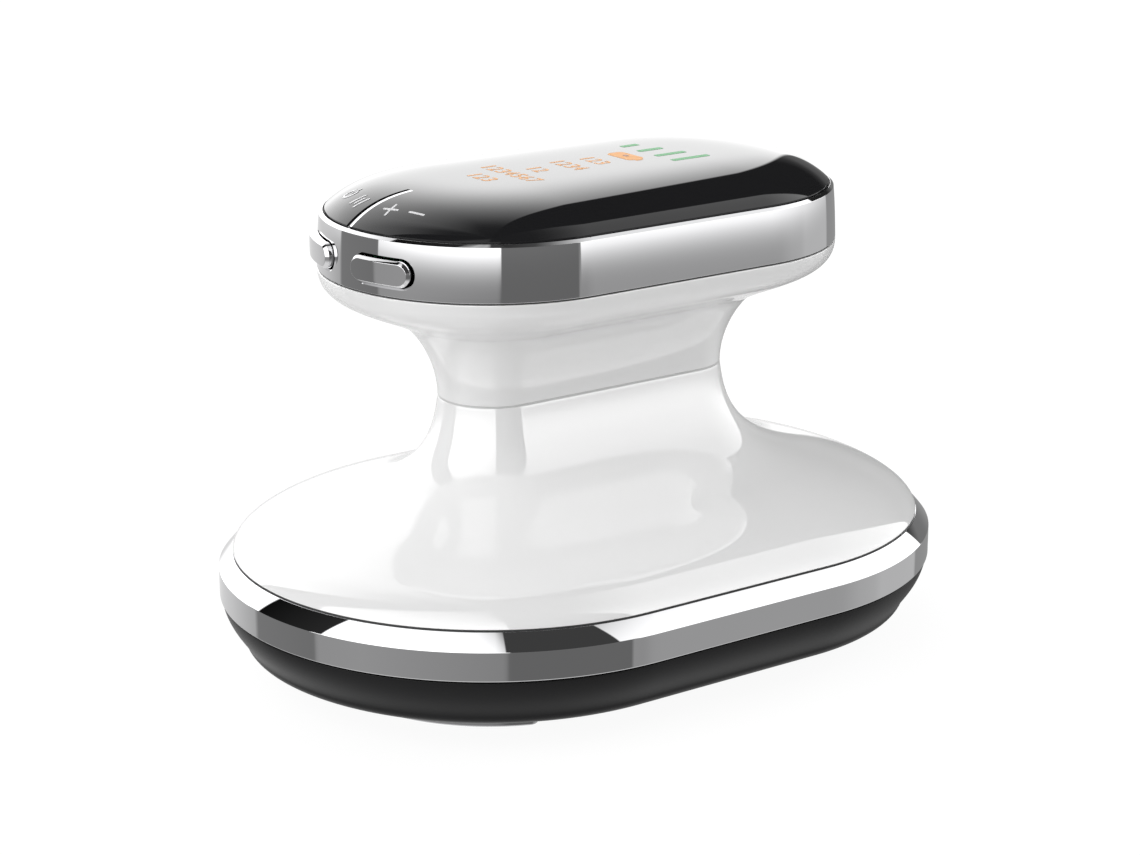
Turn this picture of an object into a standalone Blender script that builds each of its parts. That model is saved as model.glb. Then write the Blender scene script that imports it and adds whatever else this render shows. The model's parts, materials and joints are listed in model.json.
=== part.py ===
"""A hand-held radio-frequency slimming device, in metres.

Every casing section is a straight spine along X with a round offset, its reach, about it. The device
stands on its three metal plates at Z = 0, with the end that carries the keys at -X. An outline is a list
of (reach, height) pairs, swept round one end of the spine and mirrored to the other.
"""

import math

import bmesh
import bpy
from mathutils import Matrix, Vector

# Fits and walls
SPINE_HALF = 0.018
GAP = 0.0003
WALL = 0.002
FLOOR = 0.002
ROUND_EDGE = 0.0004

# Base tub and the plates under it
PLATE_DROP = 0.0019
PLATE_THICKNESS = 0.0025
PLATE_EDGE = 0.0006
PLATE_MARGIN = 0.001
PLATE_CORNER = 0.0015
ELECTRODE_SHARE = 0.316
CENTRE_PLATE_HALF = 0.0185
TUB_REACH = 0.045
TUB_FOOT_SHARE = 0.6556
TUB_HEIGHT = 0.0121
TUB_FLOOR = 0.0025
TUB_LIP_SHARES = ((0, 0), (0.4355, 0.279), (0.7303, 0.214), (0.774, 0.421))
TUB_WALL_SHARES = ((0.7987, 0.536), (0.9732, 0.713), (1, 1))

# Chrome ring of the base
RING_PROUD = 0.0003
RING_FACE = 0.0048
RING_CHAMFER_RUN = 0.0022
RING_CHAMFER_RISE = 0.0025
RING_WIDTH = 0.0044
RING_TONGUE = 0.0017

# White bodies: the skirt, the waist and the cup
RIM_INSET = 0.0001
SKIRT_RISE = 0.025
WAIST_REACH = 0.009
CUP_REACH = 0.028
CUP_RISE = 0.02155
RIM_TONGUE = 0.0042
TONGUE_WALL = 0.0018
SKIRT_FLARE_SHARES = ((1, 0), (0.971, 0.125), (0.702, 0.257), (0.48, 0.339))
SKIRT_NECK_SHARES = ((0.099, 0.481), (0.028, 0.681), (0, 1))
CUP_NECK_SHARES = ((0, 0), (0, 0.273), (0.192, 0.535), (0.329, 0.583))
CUP_FLARE_SHARES = ((0.756, 0.734), (1, 0.774), (1, 1))

# Chrome band round the top
BAND_HEIGHT = 0.0086
BAND_DRAFT = 0.0005
BAND_WALL = 0.0006
BAND_STEPS = 3
BAND_LAND_RISE = 0.0005
LEDGE_DROP = 0.0009
LEDGE_THICKNESS = 0.0006
LEDGE_WIDTH = 0.0012
CUP_TONGUE = 0.0006

# Domed panel
CROWN_INSET = 0.0001
CROWN_RISE = 0.00535
CROWN_POWER = 5
PANEL_WALL = 0.0014
PANEL_SKIRT = 0.0003
GROOVE_END_REACH = 0.015
GROOVE_RADIUS = 0.00075

# Rocker keys, their slots and pivots
KEY_LENGTH = 0.0118
KEY_HEIGHT = 0.0046
KEY_DROP = 0.0047
KEY_PROUD = 0.0011
KEY_BEVEL = 0.0007
KEY_DEPTH = 0.0036
KEY_SLOT_GAP = 0.00035
KEY_SPREAD = math.radians(18.5)
KEY_PIVOT_DEPTH = 0.0035
KEY_HUB_RADIUS = 0.0017
KEY_HUB_INSET = 0.0002
KEY_PIN_RADIUS = 0.0007
PIN_CLEARANCE = 0.0001
CARRIER_THICKNESS = 0.0009
CARRIER_INSET = 0.018

# Tact switches behind the keys
SWITCH_SPREAD = 0.0042
SWITCH_WIDTH = 0.0034
SWITCH_DEPTH = 0.003
SWITCH_HEIGHT = 0.0034
PLUNGER_RADIUS = 0.0008
PLUNGER_LENGTH = 0.0006
PLUNGER_GAP = 0.0005

# Windows, lamp boards and the ultrasonic driver in the base
WINDOW_WIDTH = 0.0045
WINDOW_LENGTH = 0.036
WINDOW_FLANGE = 0.001
WINDOW_FLANGE_THICKNESS = 0.0008
LAMP_BOARD_THICKNESS = 0.001
LAMP_SIZE = 0.0028
LAMP_HEIGHT = 0.0006
LAMP_COUNT = 4
PIEZO_RADIUS = 0.0125
PIEZO_THICKNESS = 0.0022
STUD_RADIUS = 0.0018
STUD_INSET = 0.0135
CONTACT_RADIUS = 0.0014

# Circuit board of the base and what stands on it
DRIVER_MARGIN = 0.012
BOARD_THICKNESS = 0.0014
TRANSFORMER_SIZE = (0.013, 0.011, 0.009)
TRANSFORMER_PLACE = (-0.009, 0.013)
COIL_RADIUS = 0.006
COIL_WIRE_RADIUS = 0.0022
COIL_PLACE = (0.009, -0.014)

# Posts and screws of the base
POST_INSET = 0.018
POST_SPREAD = 0.010
POST_RADIUS = 0.0042
POST_RISE = 0.0036
SKIRT_POST_RADIUS = 0.0026
SCREW_RADIUS = 0.0009
SCREW_HEAD_RADIUS = 0.0022
SCREW_HEAD_HEIGHT = 0.0014
SCREW_LENGTH = 0.010
BOARD_SCREW_LENGTH = 0.006
NECK_SCREW_SPREAD = 0.012
NECK_POST_RADIUS = 0.0024
NECK_POST_LENGTH = 0.008

# Frame, battery and main board in the cup
FRAME_REACH = 0.0198
FRAME_THICKNESS = 0.0012
FRAME_POST_RADIUS = 0.002
FRAME_POST_SHARE = 0.676
FRAME_POST_SPREAD = 0.008
BATTERY_WIDTH = 0.030
BATTERY_HEIGHT = 0.0072
BATTERY_ROUND = 0.0015
MAIN_BOARD_MARGIN = 0.0023
MAIN_BOARD_THICKNESS = 0.001
DIFFUSER_REACH = 0.011
DIFFUSER_INSET = 0.005
DIFFUSER_ROUND = 0.001
BUZZER_RADIUS = 0.004
BUZZER_HEIGHT = 0.0026
BUZZER_PLACE = (0.006, 0.0195)
HARNESS_RADIUS = 0.0014
HARNESS_INSET = 0.0035

# Charging socket at the far end
SOCKET_WIDTH = 0.0089
SOCKET_HEIGHT = 0.0032
SOCKET_DEPTH = 0.0066
SOCKET_WALL = 0.00035
SOCKET_RECESS = 0.0008
SOCKET_HOLE_DEPTH = 0.0056
TONGUE_WIDTH = 0.0062
TONGUE_THICKNESS = 0.0007
TONGUE_LENGTH = 0.0046

# Fineness of the round shapes
ARC_STEPS = 16
CURVE_STEPS = 6
NEAR_SHARE = 0.98
SHOULDER_STEPS = 5
CROWN_STEPS = 9
ROUND_SIDES = 16
SCREW_SIDES = 12
KEY_SLICES = 8
WELD = 0.000001
OVERRUN = 0.001

# Heights, from the floor up
TUB_Z = PLATE_DROP
TUB_FLOOR_Z = TUB_Z + TUB_FLOOR
RING_Z = TUB_Z + TUB_HEIGHT + GAP
RING_TOP_Z = RING_Z + RING_FACE + RING_CHAMFER_RISE
RIM_Z = RING_TOP_Z + GAP
SEAM_Z = RIM_Z + SKIRT_RISE
WAIST_Z = SEAM_Z + GAP
CUP_TOP_Z = WAIST_Z + CUP_RISE
BAND_Z = CUP_TOP_Z + GAP
BAND_TOP_Z = BAND_Z + BAND_HEIGHT
LEDGE_Z = BAND_TOP_Z - LEDGE_DROP
PANEL_EDGE_Z = LEDGE_Z + GAP
PANEL_SKIRT_Z = PANEL_EDGE_Z + PANEL_SKIRT
KEY_Z = BAND_TOP_Z - KEY_DROP
POST_TOP_Z = TUB_FLOOR_Z + POST_RISE
DRIVER_Z = POST_TOP_Z + GAP
DRIVER_TOP_Z = DRIVER_Z + BOARD_THICKNESS
PLATE_TOP_Z = PLATE_THICKNESS
RECESS_Z = PLATE_TOP_Z + GAP
BOARD_Z = KEY_Z + KEY_HEIGHT / 2 + GAP
BOARD_TOP_Z = BOARD_Z + MAIN_BOARD_THICKNESS
CARRIER_Z = KEY_Z - KEY_HEIGHT / 2 - GAP - CARRIER_THICKNESS
SOCKET_Z = BOARD_Z - GAP - SOCKET_HEIGHT / 2

# Reaches that fit inside one another
TUB_FOOT_REACH = TUB_REACH * TUB_FOOT_SHARE
PLATE_REACH = TUB_FOOT_REACH - PLATE_MARGIN
DRIVER_REACH = TUB_REACH - DRIVER_MARGIN
RING_REACH = TUB_REACH + RING_PROUD
RING_INNER_REACH = RING_REACH - RING_WIDTH
RIM_REACH = RING_REACH - RING_CHAMFER_RUN - RIM_INSET
RIM_TONGUE_REACH = RING_INNER_REACH - GAP
BAND_TOP_REACH = CUP_REACH - BAND_DRAFT
BAND_INNER_REACH = BAND_TOP_REACH - BAND_WALL
CROWN_REACH = BAND_TOP_REACH - CROWN_INSET
MAIN_BOARD_REACH = BAND_INNER_REACH - MAIN_BOARD_MARGIN
CUP_TONGUE_REACH = BAND_INNER_REACH - GAP
PANEL_REACH = BAND_INNER_REACH - GAP
PANEL_INNER_REACH = PANEL_REACH - PANEL_WALL
BAND_REACH = (CUP_REACH + BAND_TOP_REACH) / 2
KEY_FACE_REACH = BAND_REACH + KEY_PROUD
KEY_BACK_REACH = KEY_FACE_REACH - KEY_DEPTH
KEY_PIVOT_REACH = BAND_REACH - KEY_PIVOT_DEPTH
CARRIER_REACH = BAND_INNER_REACH - 2 * GAP

# Places along the spine
ELECTRODE_X = SPINE_HALF + PLATE_REACH * ELECTRODE_SHARE
POST_X = SPINE_HALF + POST_INSET
STUD_X = SPINE_HALF + STUD_INSET
WINDOW_X = (ELECTRODE_X + CENTRE_PLATE_HALF) / 2
FRAME_POST_X = SPINE_HALF + FRAME_REACH * FRAME_POST_SHARE
CARRIER_X = SPINE_HALF + CARRIER_INSET
HARNESS_X = SPINE_HALF + HARNESS_INSET


# Collections and finishes

def new_collection(name):
    made = bpy.data.collections.new(name)
    bpy.context.scene.collection.children.link(made)
    return made


for leftover in list(bpy.data.objects):
    bpy.data.objects.remove(leftover)
PARTS = new_collection("rf_slimming_device")
CUTTERS = new_collection("cutters")


def finish(name, colour, roughness, metallic=0.0):
    """A material whose shader holds one colour, roughness and metallic value."""
    made = bpy.data.materials.new(name)
    made.use_nodes = True
    shader = made.node_tree.nodes["Principled BSDF"]
    shader.inputs["Base Color"].default_value = (*colour, 1)
    shader.inputs["Roughness"].default_value = roughness
    shader.inputs["Metallic"].default_value = metallic
    return made


BLACK_PLASTIC = finish("black_plastic", (0.022, 0.022, 0.023), 0.42)
WHITE_GLOSS = finish("white_gloss", (0.86, 0.86, 0.86), 0.12)
CHROME = finish("chrome", (0.78, 0.78, 0.79), 0.06, 1.0)
STEEL = finish("steel", (0.62, 0.62, 0.63), 0.22, 1.0)
BLACK_GLASS = finish("black_glass", (0.012, 0.012, 0.013), 0.06)
CLEAR_PLASTIC = finish("clear_plastic", (0.86, 0.84, 0.82), 0.18)
CIRCUIT_BOARD = finish("circuit_board", (0.02, 0.16, 0.07), 0.45)
CERAMIC = finish("ceramic", (0.72, 0.70, 0.64), 0.5)
FERRITE = finish("ferrite", (0.08, 0.075, 0.07), 0.6)
COPPER = finish("copper", (0.72, 0.33, 0.16), 0.3, 1.0)
FOIL = finish("foil", (0.55, 0.56, 0.58), 0.35, 0.6)
GREY_PLASTIC = finish("grey_plastic", (0.30, 0.31, 0.32), 0.5)
CABLE_SKIN = finish("cable_skin", (0.05, 0.05, 0.055), 0.5)


# Making objects

def keep(name, bm, look=None):
    """An object with this mesh, its faces turned outwards. Without a look it's a cutter."""
    bmesh.ops.recalc_face_normals(bm, faces=bm.faces)
    mesh = bpy.data.meshes.new(name)
    bm.to_mesh(mesh)
    bm.free()
    mesh.shade_smooth()
    mesh.set_sharp_from_angle(angle=math.radians(30))
    made = bpy.data.objects.new(name, mesh)
    if look:
        made.data.materials.append(look)
        PARTS.objects.link(made)
    else:
        made.hide_render = True
        made.display_type = "WIRE"
        CUTTERS.objects.link(made)
    return made


def combine(target, other, operation):
    """Cuts the other object from the target, or joins it to the target."""
    step = target.modifiers.new(operation.lower(), "BOOLEAN")
    step.operation = operation
    step.object = other


def cut(target, *others):
    for other in others:
        combine(target, other, "DIFFERENCE")


def join(target, *others):
    for other in others:
        combine(target, other, "UNION")


def mirrored(target):
    """Completes a half that is open at X = 0."""
    step = target.modifiers.new("mirror", "MIRROR")
    step.use_axis = (True, False, False)
    step.merge_threshold = WELD
    return target


# Outlines

def cubic(start, first, second, end, steps):
    """Points of a cubic curve, without its start."""
    points = []
    for step in range(1, steps + 1):
        t = step / steps
        s = 1 - t
        points.append(tuple(
            s ** 3 * a + 3 * s * s * t * b + 3 * s * t * t * c + t ** 3 * d
            for a, b, c, d in zip(start, first, second, end)
        ))
    return points


def curved_outline(shares, foot, top, base_z, rise):
    """Joined cubic curves whose control points are shares of the run from foot to top and of the rise."""
    points = [(foot + (top - foot) * run, base_z + rise * up) for run, up in shares]
    outline = [points[0]]
    for start in range(0, len(points) - 1, 3):
        outline += cubic(*points[start:start + 4], CURVE_STEPS)
    return outline


def inset(outline, wall):
    """The outline moved by the wall, to the left of its direction, without points that come too near it."""
    moved = []
    for index, point in enumerate(outline):
        before = Vector(outline[max(index - 1, 0)])
        after = Vector(outline[min(index + 1, len(outline) - 1)])
        along = (after - before).normalized()
        moved.append((point[0] - along.y * wall, point[1] + along.x * wall))
    return [place for place in moved if min(math.dist(place, other) for other in outline) > wall * NEAR_SHARE]


def height_at(outline, reach):
    """Height of an outline where it passes a reach, read from its straight pieces."""
    for (reach_a, z_a), (reach_b, z_b) in zip(outline, outline[1:]):
        if min(reach_a, reach_b) <= reach <= max(reach_a, reach_b) and reach_a != reach_b:
            return z_a + (z_b - z_a) * (reach - reach_a) / (reach_b - reach_a)
    raise ValueError("the outline doesn't pass this reach")


def reach_at(outline, height):
    """Reach of an outline where it passes a height."""
    return height_at([(z, reach) for reach, z in outline], height)


def arc(centre, radius, start, end, steps):
    """Points on an arc in the XY plane, both ends included."""
    points = []
    for step in range(steps + 1):
        turn = start + (end - start) * step / steps
        points.append((centre[0] + radius * math.cos(turn), centre[1] + radius * math.sin(turn)))
    return points


def d_outline(reach, flat_x, corner):
    """One end of the stadium with this reach, cut straight at flat_x and rounded at the two corners."""
    corner_x = flat_x + corner
    corner_y = math.sqrt((reach - corner) ** 2 - (corner_x - SPINE_HALF) ** 2)
    lean = math.atan2(corner_y, corner_x - SPINE_HALF)
    lower = arc((corner_x, -corner_y), corner, -math.pi, -lean, SHOULDER_STEPS)
    upper = arc((corner_x, corner_y), corner, lean, math.pi, SHOULDER_STEPS)
    outer = arc((SPINE_HALF, 0), reach, -lean, lean, ARC_STEPS)
    return lower + outer[1:-1] + upper


def rounded_rectangle(half_x, half_y, corner):
    points = []
    for quarter, (side_x, side_y) in enumerate(((1, 1), (-1, 1), (-1, -1), (1, -1))):
        centre = (side_x * (half_x - corner), side_y * (half_y - corner))
        start = quarter * math.pi / 2
        points += arc(centre, corner, start, start + math.pi / 2, SHOULDER_STEPS)
    return points


# Basic solids

def swept(name, outline, look, closed=True):
    """The outline swept round the +X end of the spine and run to the middle, then mirrored.

    An outline that isn't closed starts and ends on the spine itself.
    """
    bm = bmesh.new()
    verts = [bm.verts.new((SPINE_HALF, -reach, z)) for reach, z in outline]
    ends = verts[1:] + verts[:1] if closed else verts[1:]
    loop = [bm.edges.new(pair) for pair in zip(verts, ends)]
    spun = bmesh.ops.spin(
        bm, geom=verts + loop, cent=(SPINE_HALF, 0, 0), axis=(0, 0, 1), angle=math.pi, steps=ARC_STEPS
    )
    last = [item for item in spun["geom_last"] if isinstance(item, bmesh.types.BMEdge)]
    run = bmesh.ops.extrude_edge_only(bm, edges=loop + last)["geom"]
    for item in run:
        if isinstance(item, bmesh.types.BMVert):
            item.co.x = 0
    bmesh.ops.remove_doubles(bm, verts=bm.verts, dist=WELD)
    return mirrored(keep(name, bm, look))


def plate(name, outline, low_z, high_z, look=None, edge=0.0):
    """A flat plate: a filled 2D curve, as thick as the two heights are apart, with its edges rounded."""
    curve = bpy.data.curves.new(name, "CURVE")
    curve.dimensions = "2D"
    curve.fill_mode = "BOTH"
    curve.extrude = (high_z - low_z) / 2 - edge
    curve.bevel_depth = edge
    curve.bevel_resolution = 1
    curve.offset = -edge
    spline = curve.splines.new("POLY")
    spline.points.add(len(outline) - 1)
    for point, (x, y) in zip(spline.points, outline):
        point.co = (x, y, 0, 1)
    spline.use_cyclic_u = True
    guide = bpy.data.objects.new(name, curve)
    guide.location.z = (low_z + high_z) / 2
    bpy.context.scene.collection.objects.link(guide)
    bpy.context.view_layer.update()
    mesh = bpy.data.meshes.new_from_object(guide.evaluated_get(bpy.context.evaluated_depsgraph_get()))
    mesh.transform(guide.matrix_world)
    bpy.data.objects.remove(guide)
    bm = bmesh.new()
    bm.from_mesh(mesh)
    bpy.data.meshes.remove(mesh)
    bmesh.ops.remove_doubles(bm, verts=bm.verts, dist=WELD)
    return keep(name, bm, look)


def upright(name, radius, low_z, high_z, place, look=None, sides=ROUND_SIDES):
    """A cylinder along Z between two heights."""
    bm = bmesh.new()
    middle = Matrix.Translation((*place, (low_z + high_z) / 2))
    bmesh.ops.create_cone(
        bm, cap_ends=True, segments=sides, radius1=radius, radius2=radius, depth=high_z - low_z, matrix=middle
    )
    return keep(name, bm, look)


def block(name, low, high, look=None, edge=0.0):
    """A box between two corners, its upright edges rounded."""
    bm = bmesh.new()
    low = Vector(low)
    high = Vector(high)
    size = Matrix.Diagonal((*(high - low), 1))
    bmesh.ops.create_cube(bm, size=1, matrix=Matrix.Translation((low + high) / 2) @ size)
    if edge:
        rims = [e for e in bm.edges if abs(e.verts[0].co.z - e.verts[1].co.z) > WELD]
        bmesh.ops.bevel(bm, geom=rims, offset=edge, segments=2, profile=0.5, affect="EDGES")
    return keep(name, bm, look)


def screw(name, place, head_z, length, pointing):
    """A pan-head screw turned about Z, its head's flat side at head_z. It points up with +1, down with -1."""
    outline = (
        (0, -SCREW_HEAD_HEIGHT),
        (SCREW_HEAD_RADIUS / 2, -SCREW_HEAD_HEIGHT),
        (SCREW_HEAD_RADIUS, -SCREW_HEAD_HEIGHT / 2),
        (SCREW_HEAD_RADIUS, 0),
        (SCREW_RADIUS, 0),
        (SCREW_RADIUS, length - SCREW_RADIUS),
        (0, length),
    )
    points = [(reach, z * pointing) for reach, z in outline]
    if pointing > 0:
        points.reverse()
    mesh = bpy.data.meshes.new(name)
    mesh.from_pydata([(reach, 0, z) for reach, z in points], [(i, i + 1) for i in range(len(points) - 1)], [])
    made = bpy.data.objects.new(name, mesh)
    made.location = (*place, head_z)
    made.data.materials.append(STEEL)
    PARTS.objects.link(made)
    turn = made.modifiers.new("turn", "SCREW")
    turn.steps = SCREW_SIDES
    turn.render_steps = SCREW_SIDES
    turn.use_merge_vertices = True
    turn.merge_threshold = WELD
    return made


def wrapped_pill(name, length, height, layers, turn, end_x, middle_z, look=None):
    """A pill-shaped block bent round the end of the band.

    Layers are (reach, edge) pairs from the back to the face: each is the pill drawn in by its edge.
    """
    bm = bmesh.new()
    for reach, edge in layers:
        radius = height / 2 - edge
        for side in (-1, 1):
            centre = Matrix.Translation((side * (length / 2 - height / 2), 0, reach))
            bmesh.ops.create_circle(bm, segments=ROUND_SIDES, radius=radius, matrix=centre)
    bmesh.ops.convex_hull(bm, input=bm.verts)
    loose = [v for v in bm.verts if not v.link_faces]
    bmesh.ops.delete(bm, geom=loose, context="VERTS")
    for step in range(1, KEY_SLICES):
        across = (step / KEY_SLICES - 1 / 2) * (length - height)
        whole = bm.verts[:] + bm.edges[:] + bm.faces[:]
        bmesh.ops.bisect_plane(bm, geom=whole, dist=WELD, plane_co=(across, 0, 0), plane_no=(1, 0, 0))
    for vert in bm.verts:
        along, up, reach = vert.co
        angle = turn + along / BAND_REACH
        vert.co = (end_x + reach * math.cos(angle), reach * math.sin(angle), middle_z + up)
    bmesh.ops.triangulate(bm, faces=bm.faces)
    return keep(name, bm, look)


def around_end(end_x, reach, turn):
    """A place in the XY plane at a reach and a turn about one end of the spine."""
    return (end_x + reach * math.cos(turn), reach * math.sin(turn))


def set_origin(target, place):
    """Puts the object's origin at a point without moving its shape."""
    target.data.transform(Matrix.Translation([-value for value in place]))
    target.location = place


# Casings

SKIRT = curved_outline(SKIRT_FLARE_SHARES + SKIRT_NECK_SHARES, WAIST_REACH, RIM_REACH, RIM_Z, SKIRT_RISE)
CUP = curved_outline(CUP_NECK_SHARES + CUP_FLARE_SHARES, WAIST_REACH, CUP_REACH, WAIST_Z, CUP_RISE)
TUB = curved_outline(TUB_LIP_SHARES + TUB_WALL_SHARES, TUB_FOOT_REACH, TUB_REACH, TUB_Z, TUB_HEIGHT)


def crown_height(reach):
    """Height of the panel's outer face."""
    return BAND_TOP_Z + CROWN_RISE * (1 - (reach / CROWN_REACH) ** CROWN_POWER)


def ceiling_height(reach):
    """Height of the panel's inner face: a wall below the crown, and level with the skirt at its edge."""
    rise = crown_height(0) - PANEL_WALL - PANEL_SKIRT_Z
    return PANEL_SKIRT_Z + rise * (1 - (reach / PANEL_INNER_REACH) ** CROWN_POWER)


def make_base_shell():
    top_z = TUB_Z + TUB_HEIGHT
    inner = [p for p in inset(TUB, WALL) if p[1] > TUB_FLOOR_Z and p[0] < TUB_REACH - WALL]
    outline = [(0, TUB_Z)] + TUB + [(TUB_REACH - WALL, top_z)] + inner[::-1]
    outline += [(inner[0][0] - WALL, TUB_FLOOR_Z), (0, TUB_FLOOR_Z)]
    shell = swept("base_shell", outline, BLACK_PLASTIC, closed=False)
    for side in (-1, 1):
        for spread in (-POST_SPREAD, POST_SPREAD):
            place = (side * POST_X, spread)
            join(shell, upright("post", POST_RADIUS, TUB_Z + WALL, POST_TOP_Z, place))
    return shell


def cut_base_shell(shell):
    """Cuts the recesses of the plates and the holes for windows, studs, the ultrasonic driver and screws."""
    low = TUB_Z - OVERRUN
    high = POST_TOP_Z + OVERRUN
    for side in (-1, 1):
        outline = d_outline(PLATE_REACH + GAP, ELECTRODE_X - GAP, PLATE_CORNER + GAP)
        outline = [(side * x, y) for x, y in outline]
        cut(shell, plate("electrode_recess", outline, low, RECESS_Z))
        window = block(
            "window_slot",
            (side * WINDOW_X - WINDOW_WIDTH / 2 - GAP, -WINDOW_LENGTH / 2 - GAP, low),
            (side * WINDOW_X + WINDOW_WIDTH / 2 + GAP, WINDOW_LENGTH / 2 + GAP, high),
        )
        stud = upright("stud_hole", STUD_RADIUS + GAP, low, high, (side * STUD_X, 0))
        cut(shell, window, stud)
        for spread in (-POST_SPREAD, POST_SPREAD):
            place = (side * POST_X, spread)
            head_top = RECESS_Z + GAP + SCREW_HEAD_HEIGHT
            head = upright("head_hole", SCREW_HEAD_RADIUS + GAP, low, head_top, place)
            shank = upright("shank_hole", SCREW_RADIUS + GAP, low, high, place)
            cut(shell, head, shank)
    outline = rounded_rectangle(CENTRE_PLATE_HALF + GAP, PLATE_REACH + GAP, PLATE_CORNER + GAP)
    cut(shell, plate("centre_recess", outline, low, RECESS_Z))
    cut(shell, upright("piezo_hole", PIEZO_RADIUS + GAP, low, high, (0, 0)))


def make_plates():
    """The two electrodes with their studs, and the ultrasonic head between them."""
    for side, name in ((-1, "electrode_left"), (1, "electrode_right")):
        outline = [(side * x, y) for x, y in d_outline(PLATE_REACH, ELECTRODE_X, PLATE_CORNER)]
        electrode = plate(name, outline, 0, PLATE_TOP_Z, STEEL, PLATE_EDGE)
        stud_top = TUB_FLOOR_Z + WALL
        stud = upright("stud", STUD_RADIUS, PLATE_TOP_Z - PLATE_EDGE, stud_top, (side * STUD_X, 0))
        join(electrode, stud)
    outline = rounded_rectangle(CENTRE_PLATE_HALF, PLATE_REACH, PLATE_CORNER)
    plate("centre_plate", outline, 0, PLATE_TOP_Z, STEEL, PLATE_EDGE)


def make_base_ring():
    """The ring that rests on the tub's rim, with a tongue that fits inside the tub."""
    inner = RING_INNER_REACH
    face_z = RING_Z + RING_FACE
    tongue_z = RING_Z - GAP - RING_TONGUE
    tongue_reach = reach_at(inset(TUB, WALL), tongue_z) - GAP
    outline = [
        (RING_REACH, RING_Z),
        (RING_REACH, face_z),
        (RING_REACH - RING_CHAMFER_RUN, RING_TOP_Z),
        (inner, RING_TOP_Z),
        (inner, tongue_z),
        (tongue_reach, tongue_z),
        (tongue_reach, RING_Z),
    ]
    swept("base_trim_ring", outline, CHROME)


def make_lower_body():
    floor_z = SEAM_Z - FLOOR
    tongue_inner = RIM_TONGUE_REACH - TONGUE_WALL
    inner = [p for p in inset(SKIRT, WALL) if p[0] < tongue_inner and p[1] < floor_z]
    tongue_z = RIM_Z - RIM_TONGUE
    outline = [(0, SEAM_Z)] + SKIRT[::-1]
    outline += [(RIM_TONGUE_REACH, RIM_Z), (RIM_TONGUE_REACH, tongue_z), (tongue_inner, tongue_z)]
    outline += [(tongue_inner, inner[0][1])] + inner + [(inner[-1][0], floor_z), (0, floor_z)]
    body = swept("lower_body", outline, WHITE_GLOSS, closed=False)
    for side in (-1, 1):
        for spread in (-POST_SPREAD, POST_SPREAD):
            place = (side * POST_X, spread)
            far_reach = math.hypot(POST_INSET, POST_SPREAD) + SKIRT_POST_RADIUS
            post_top = height_at(SKIRT, far_reach) - WALL / 3
            post = upright("post", SKIRT_POST_RADIUS, POST_TOP_Z + GAP, post_top, place)
            join(body, post)
            pilot_top = POST_TOP_Z + GAP + SCREW_LENGTH
            pilot_low = POST_TOP_Z - OVERRUN
            cut(body, upright("pilot", SCREW_RADIUS + GAP, pilot_low, pilot_top, place))
        place = (side * NECK_SCREW_SPREAD, 0)
        post_low = floor_z - NECK_POST_LENGTH
        join(body, upright("neck_post", NECK_POST_RADIUS, post_low, SEAM_Z - GAP, place))
        pilot_low = post_low - OVERRUN
        pilot_high = SEAM_Z + OVERRUN
        cut(body, upright("neck_pilot", SCREW_RADIUS + GAP, pilot_low, pilot_high, place))
    harness_low = floor_z - OVERRUN
    harness_high = SEAM_Z + OVERRUN
    cut(body, upright("hole", HARNESS_RADIUS + GAP, harness_low, harness_high, (HARNESS_X, 0)))


def make_upper_body():
    floor_z = WAIST_Z + FLOOR
    tongue_inner = CUP_TONGUE_REACH - TONGUE_WALL
    inner = [p for p in inset(CUP, WALL) if p[0] < tongue_inner and p[1] > floor_z]
    tongue_z = CUP_TOP_Z + CUP_TONGUE
    outline = [(0, WAIST_Z)] + CUP
    outline += [(CUP_TONGUE_REACH, CUP_TOP_Z), (CUP_TONGUE_REACH, tongue_z), (tongue_inner, tongue_z)]
    outline += [(tongue_inner, inner[-1][1])] + inner[::-1] + [(inner[0][0], floor_z), (0, floor_z)]
    body = swept("upper_body", outline, WHITE_GLOSS, closed=False)
    low = WAIST_Z - OVERRUN
    high = floor_z + OVERRUN
    for side in (-1, 1):
        place = (side * NECK_SCREW_SPREAD, 0)
        cut(body, upright("neck_hole", SCREW_RADIUS + GAP, low, high, place))
    cut(body, upright("hole", HARNESS_RADIUS + GAP, low, high, (HARNESS_X, 0)))


def make_top_ring():
    """The band round the top. Its face leans in more and more towards the top."""
    inner = BAND_INNER_REACH
    ledge_reach = inner - LEDGE_WIDTH
    land_z = BAND_TOP_Z + BAND_LAND_RISE
    ledge_low_z = LEDGE_Z - LEDGE_THICKNESS
    climbs = [step / BAND_STEPS for step in range(BAND_STEPS + 1)]
    outline = [(CUP_REACH - BAND_DRAFT * climb ** 2, BAND_Z + BAND_HEIGHT * climb) for climb in climbs]
    outline += [
        (inner, land_z),
        (inner, LEDGE_Z),
        (ledge_reach, LEDGE_Z),
        (ledge_reach, ledge_low_z),
        (inner, ledge_low_z),
        (inner, BAND_Z),
    ]
    ring = swept("top_trim_ring", outline, CHROME)
    through = ((KEY_BACK_REACH - OVERRUN, 0), (KEY_FACE_REACH + OVERRUN, 0))
    slot_length = KEY_LENGTH + 2 * KEY_SLOT_GAP
    slot_height = KEY_HEIGHT + 2 * KEY_SLOT_GAP
    for side in (-1, 1):
        turn = math.pi + side * KEY_SPREAD
        cut(ring, wrapped_pill("key_slot", slot_length, slot_height, through, turn, -SPINE_HALF, KEY_Z))
    port_length = SOCKET_WIDTH + 2 * KEY_SLOT_GAP
    port_height = SOCKET_HEIGHT + 2 * KEY_SLOT_GAP
    cut(ring, wrapped_pill("port_slot", port_length, port_height, through, 0, SPINE_HALF, SOCKET_Z))


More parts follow.
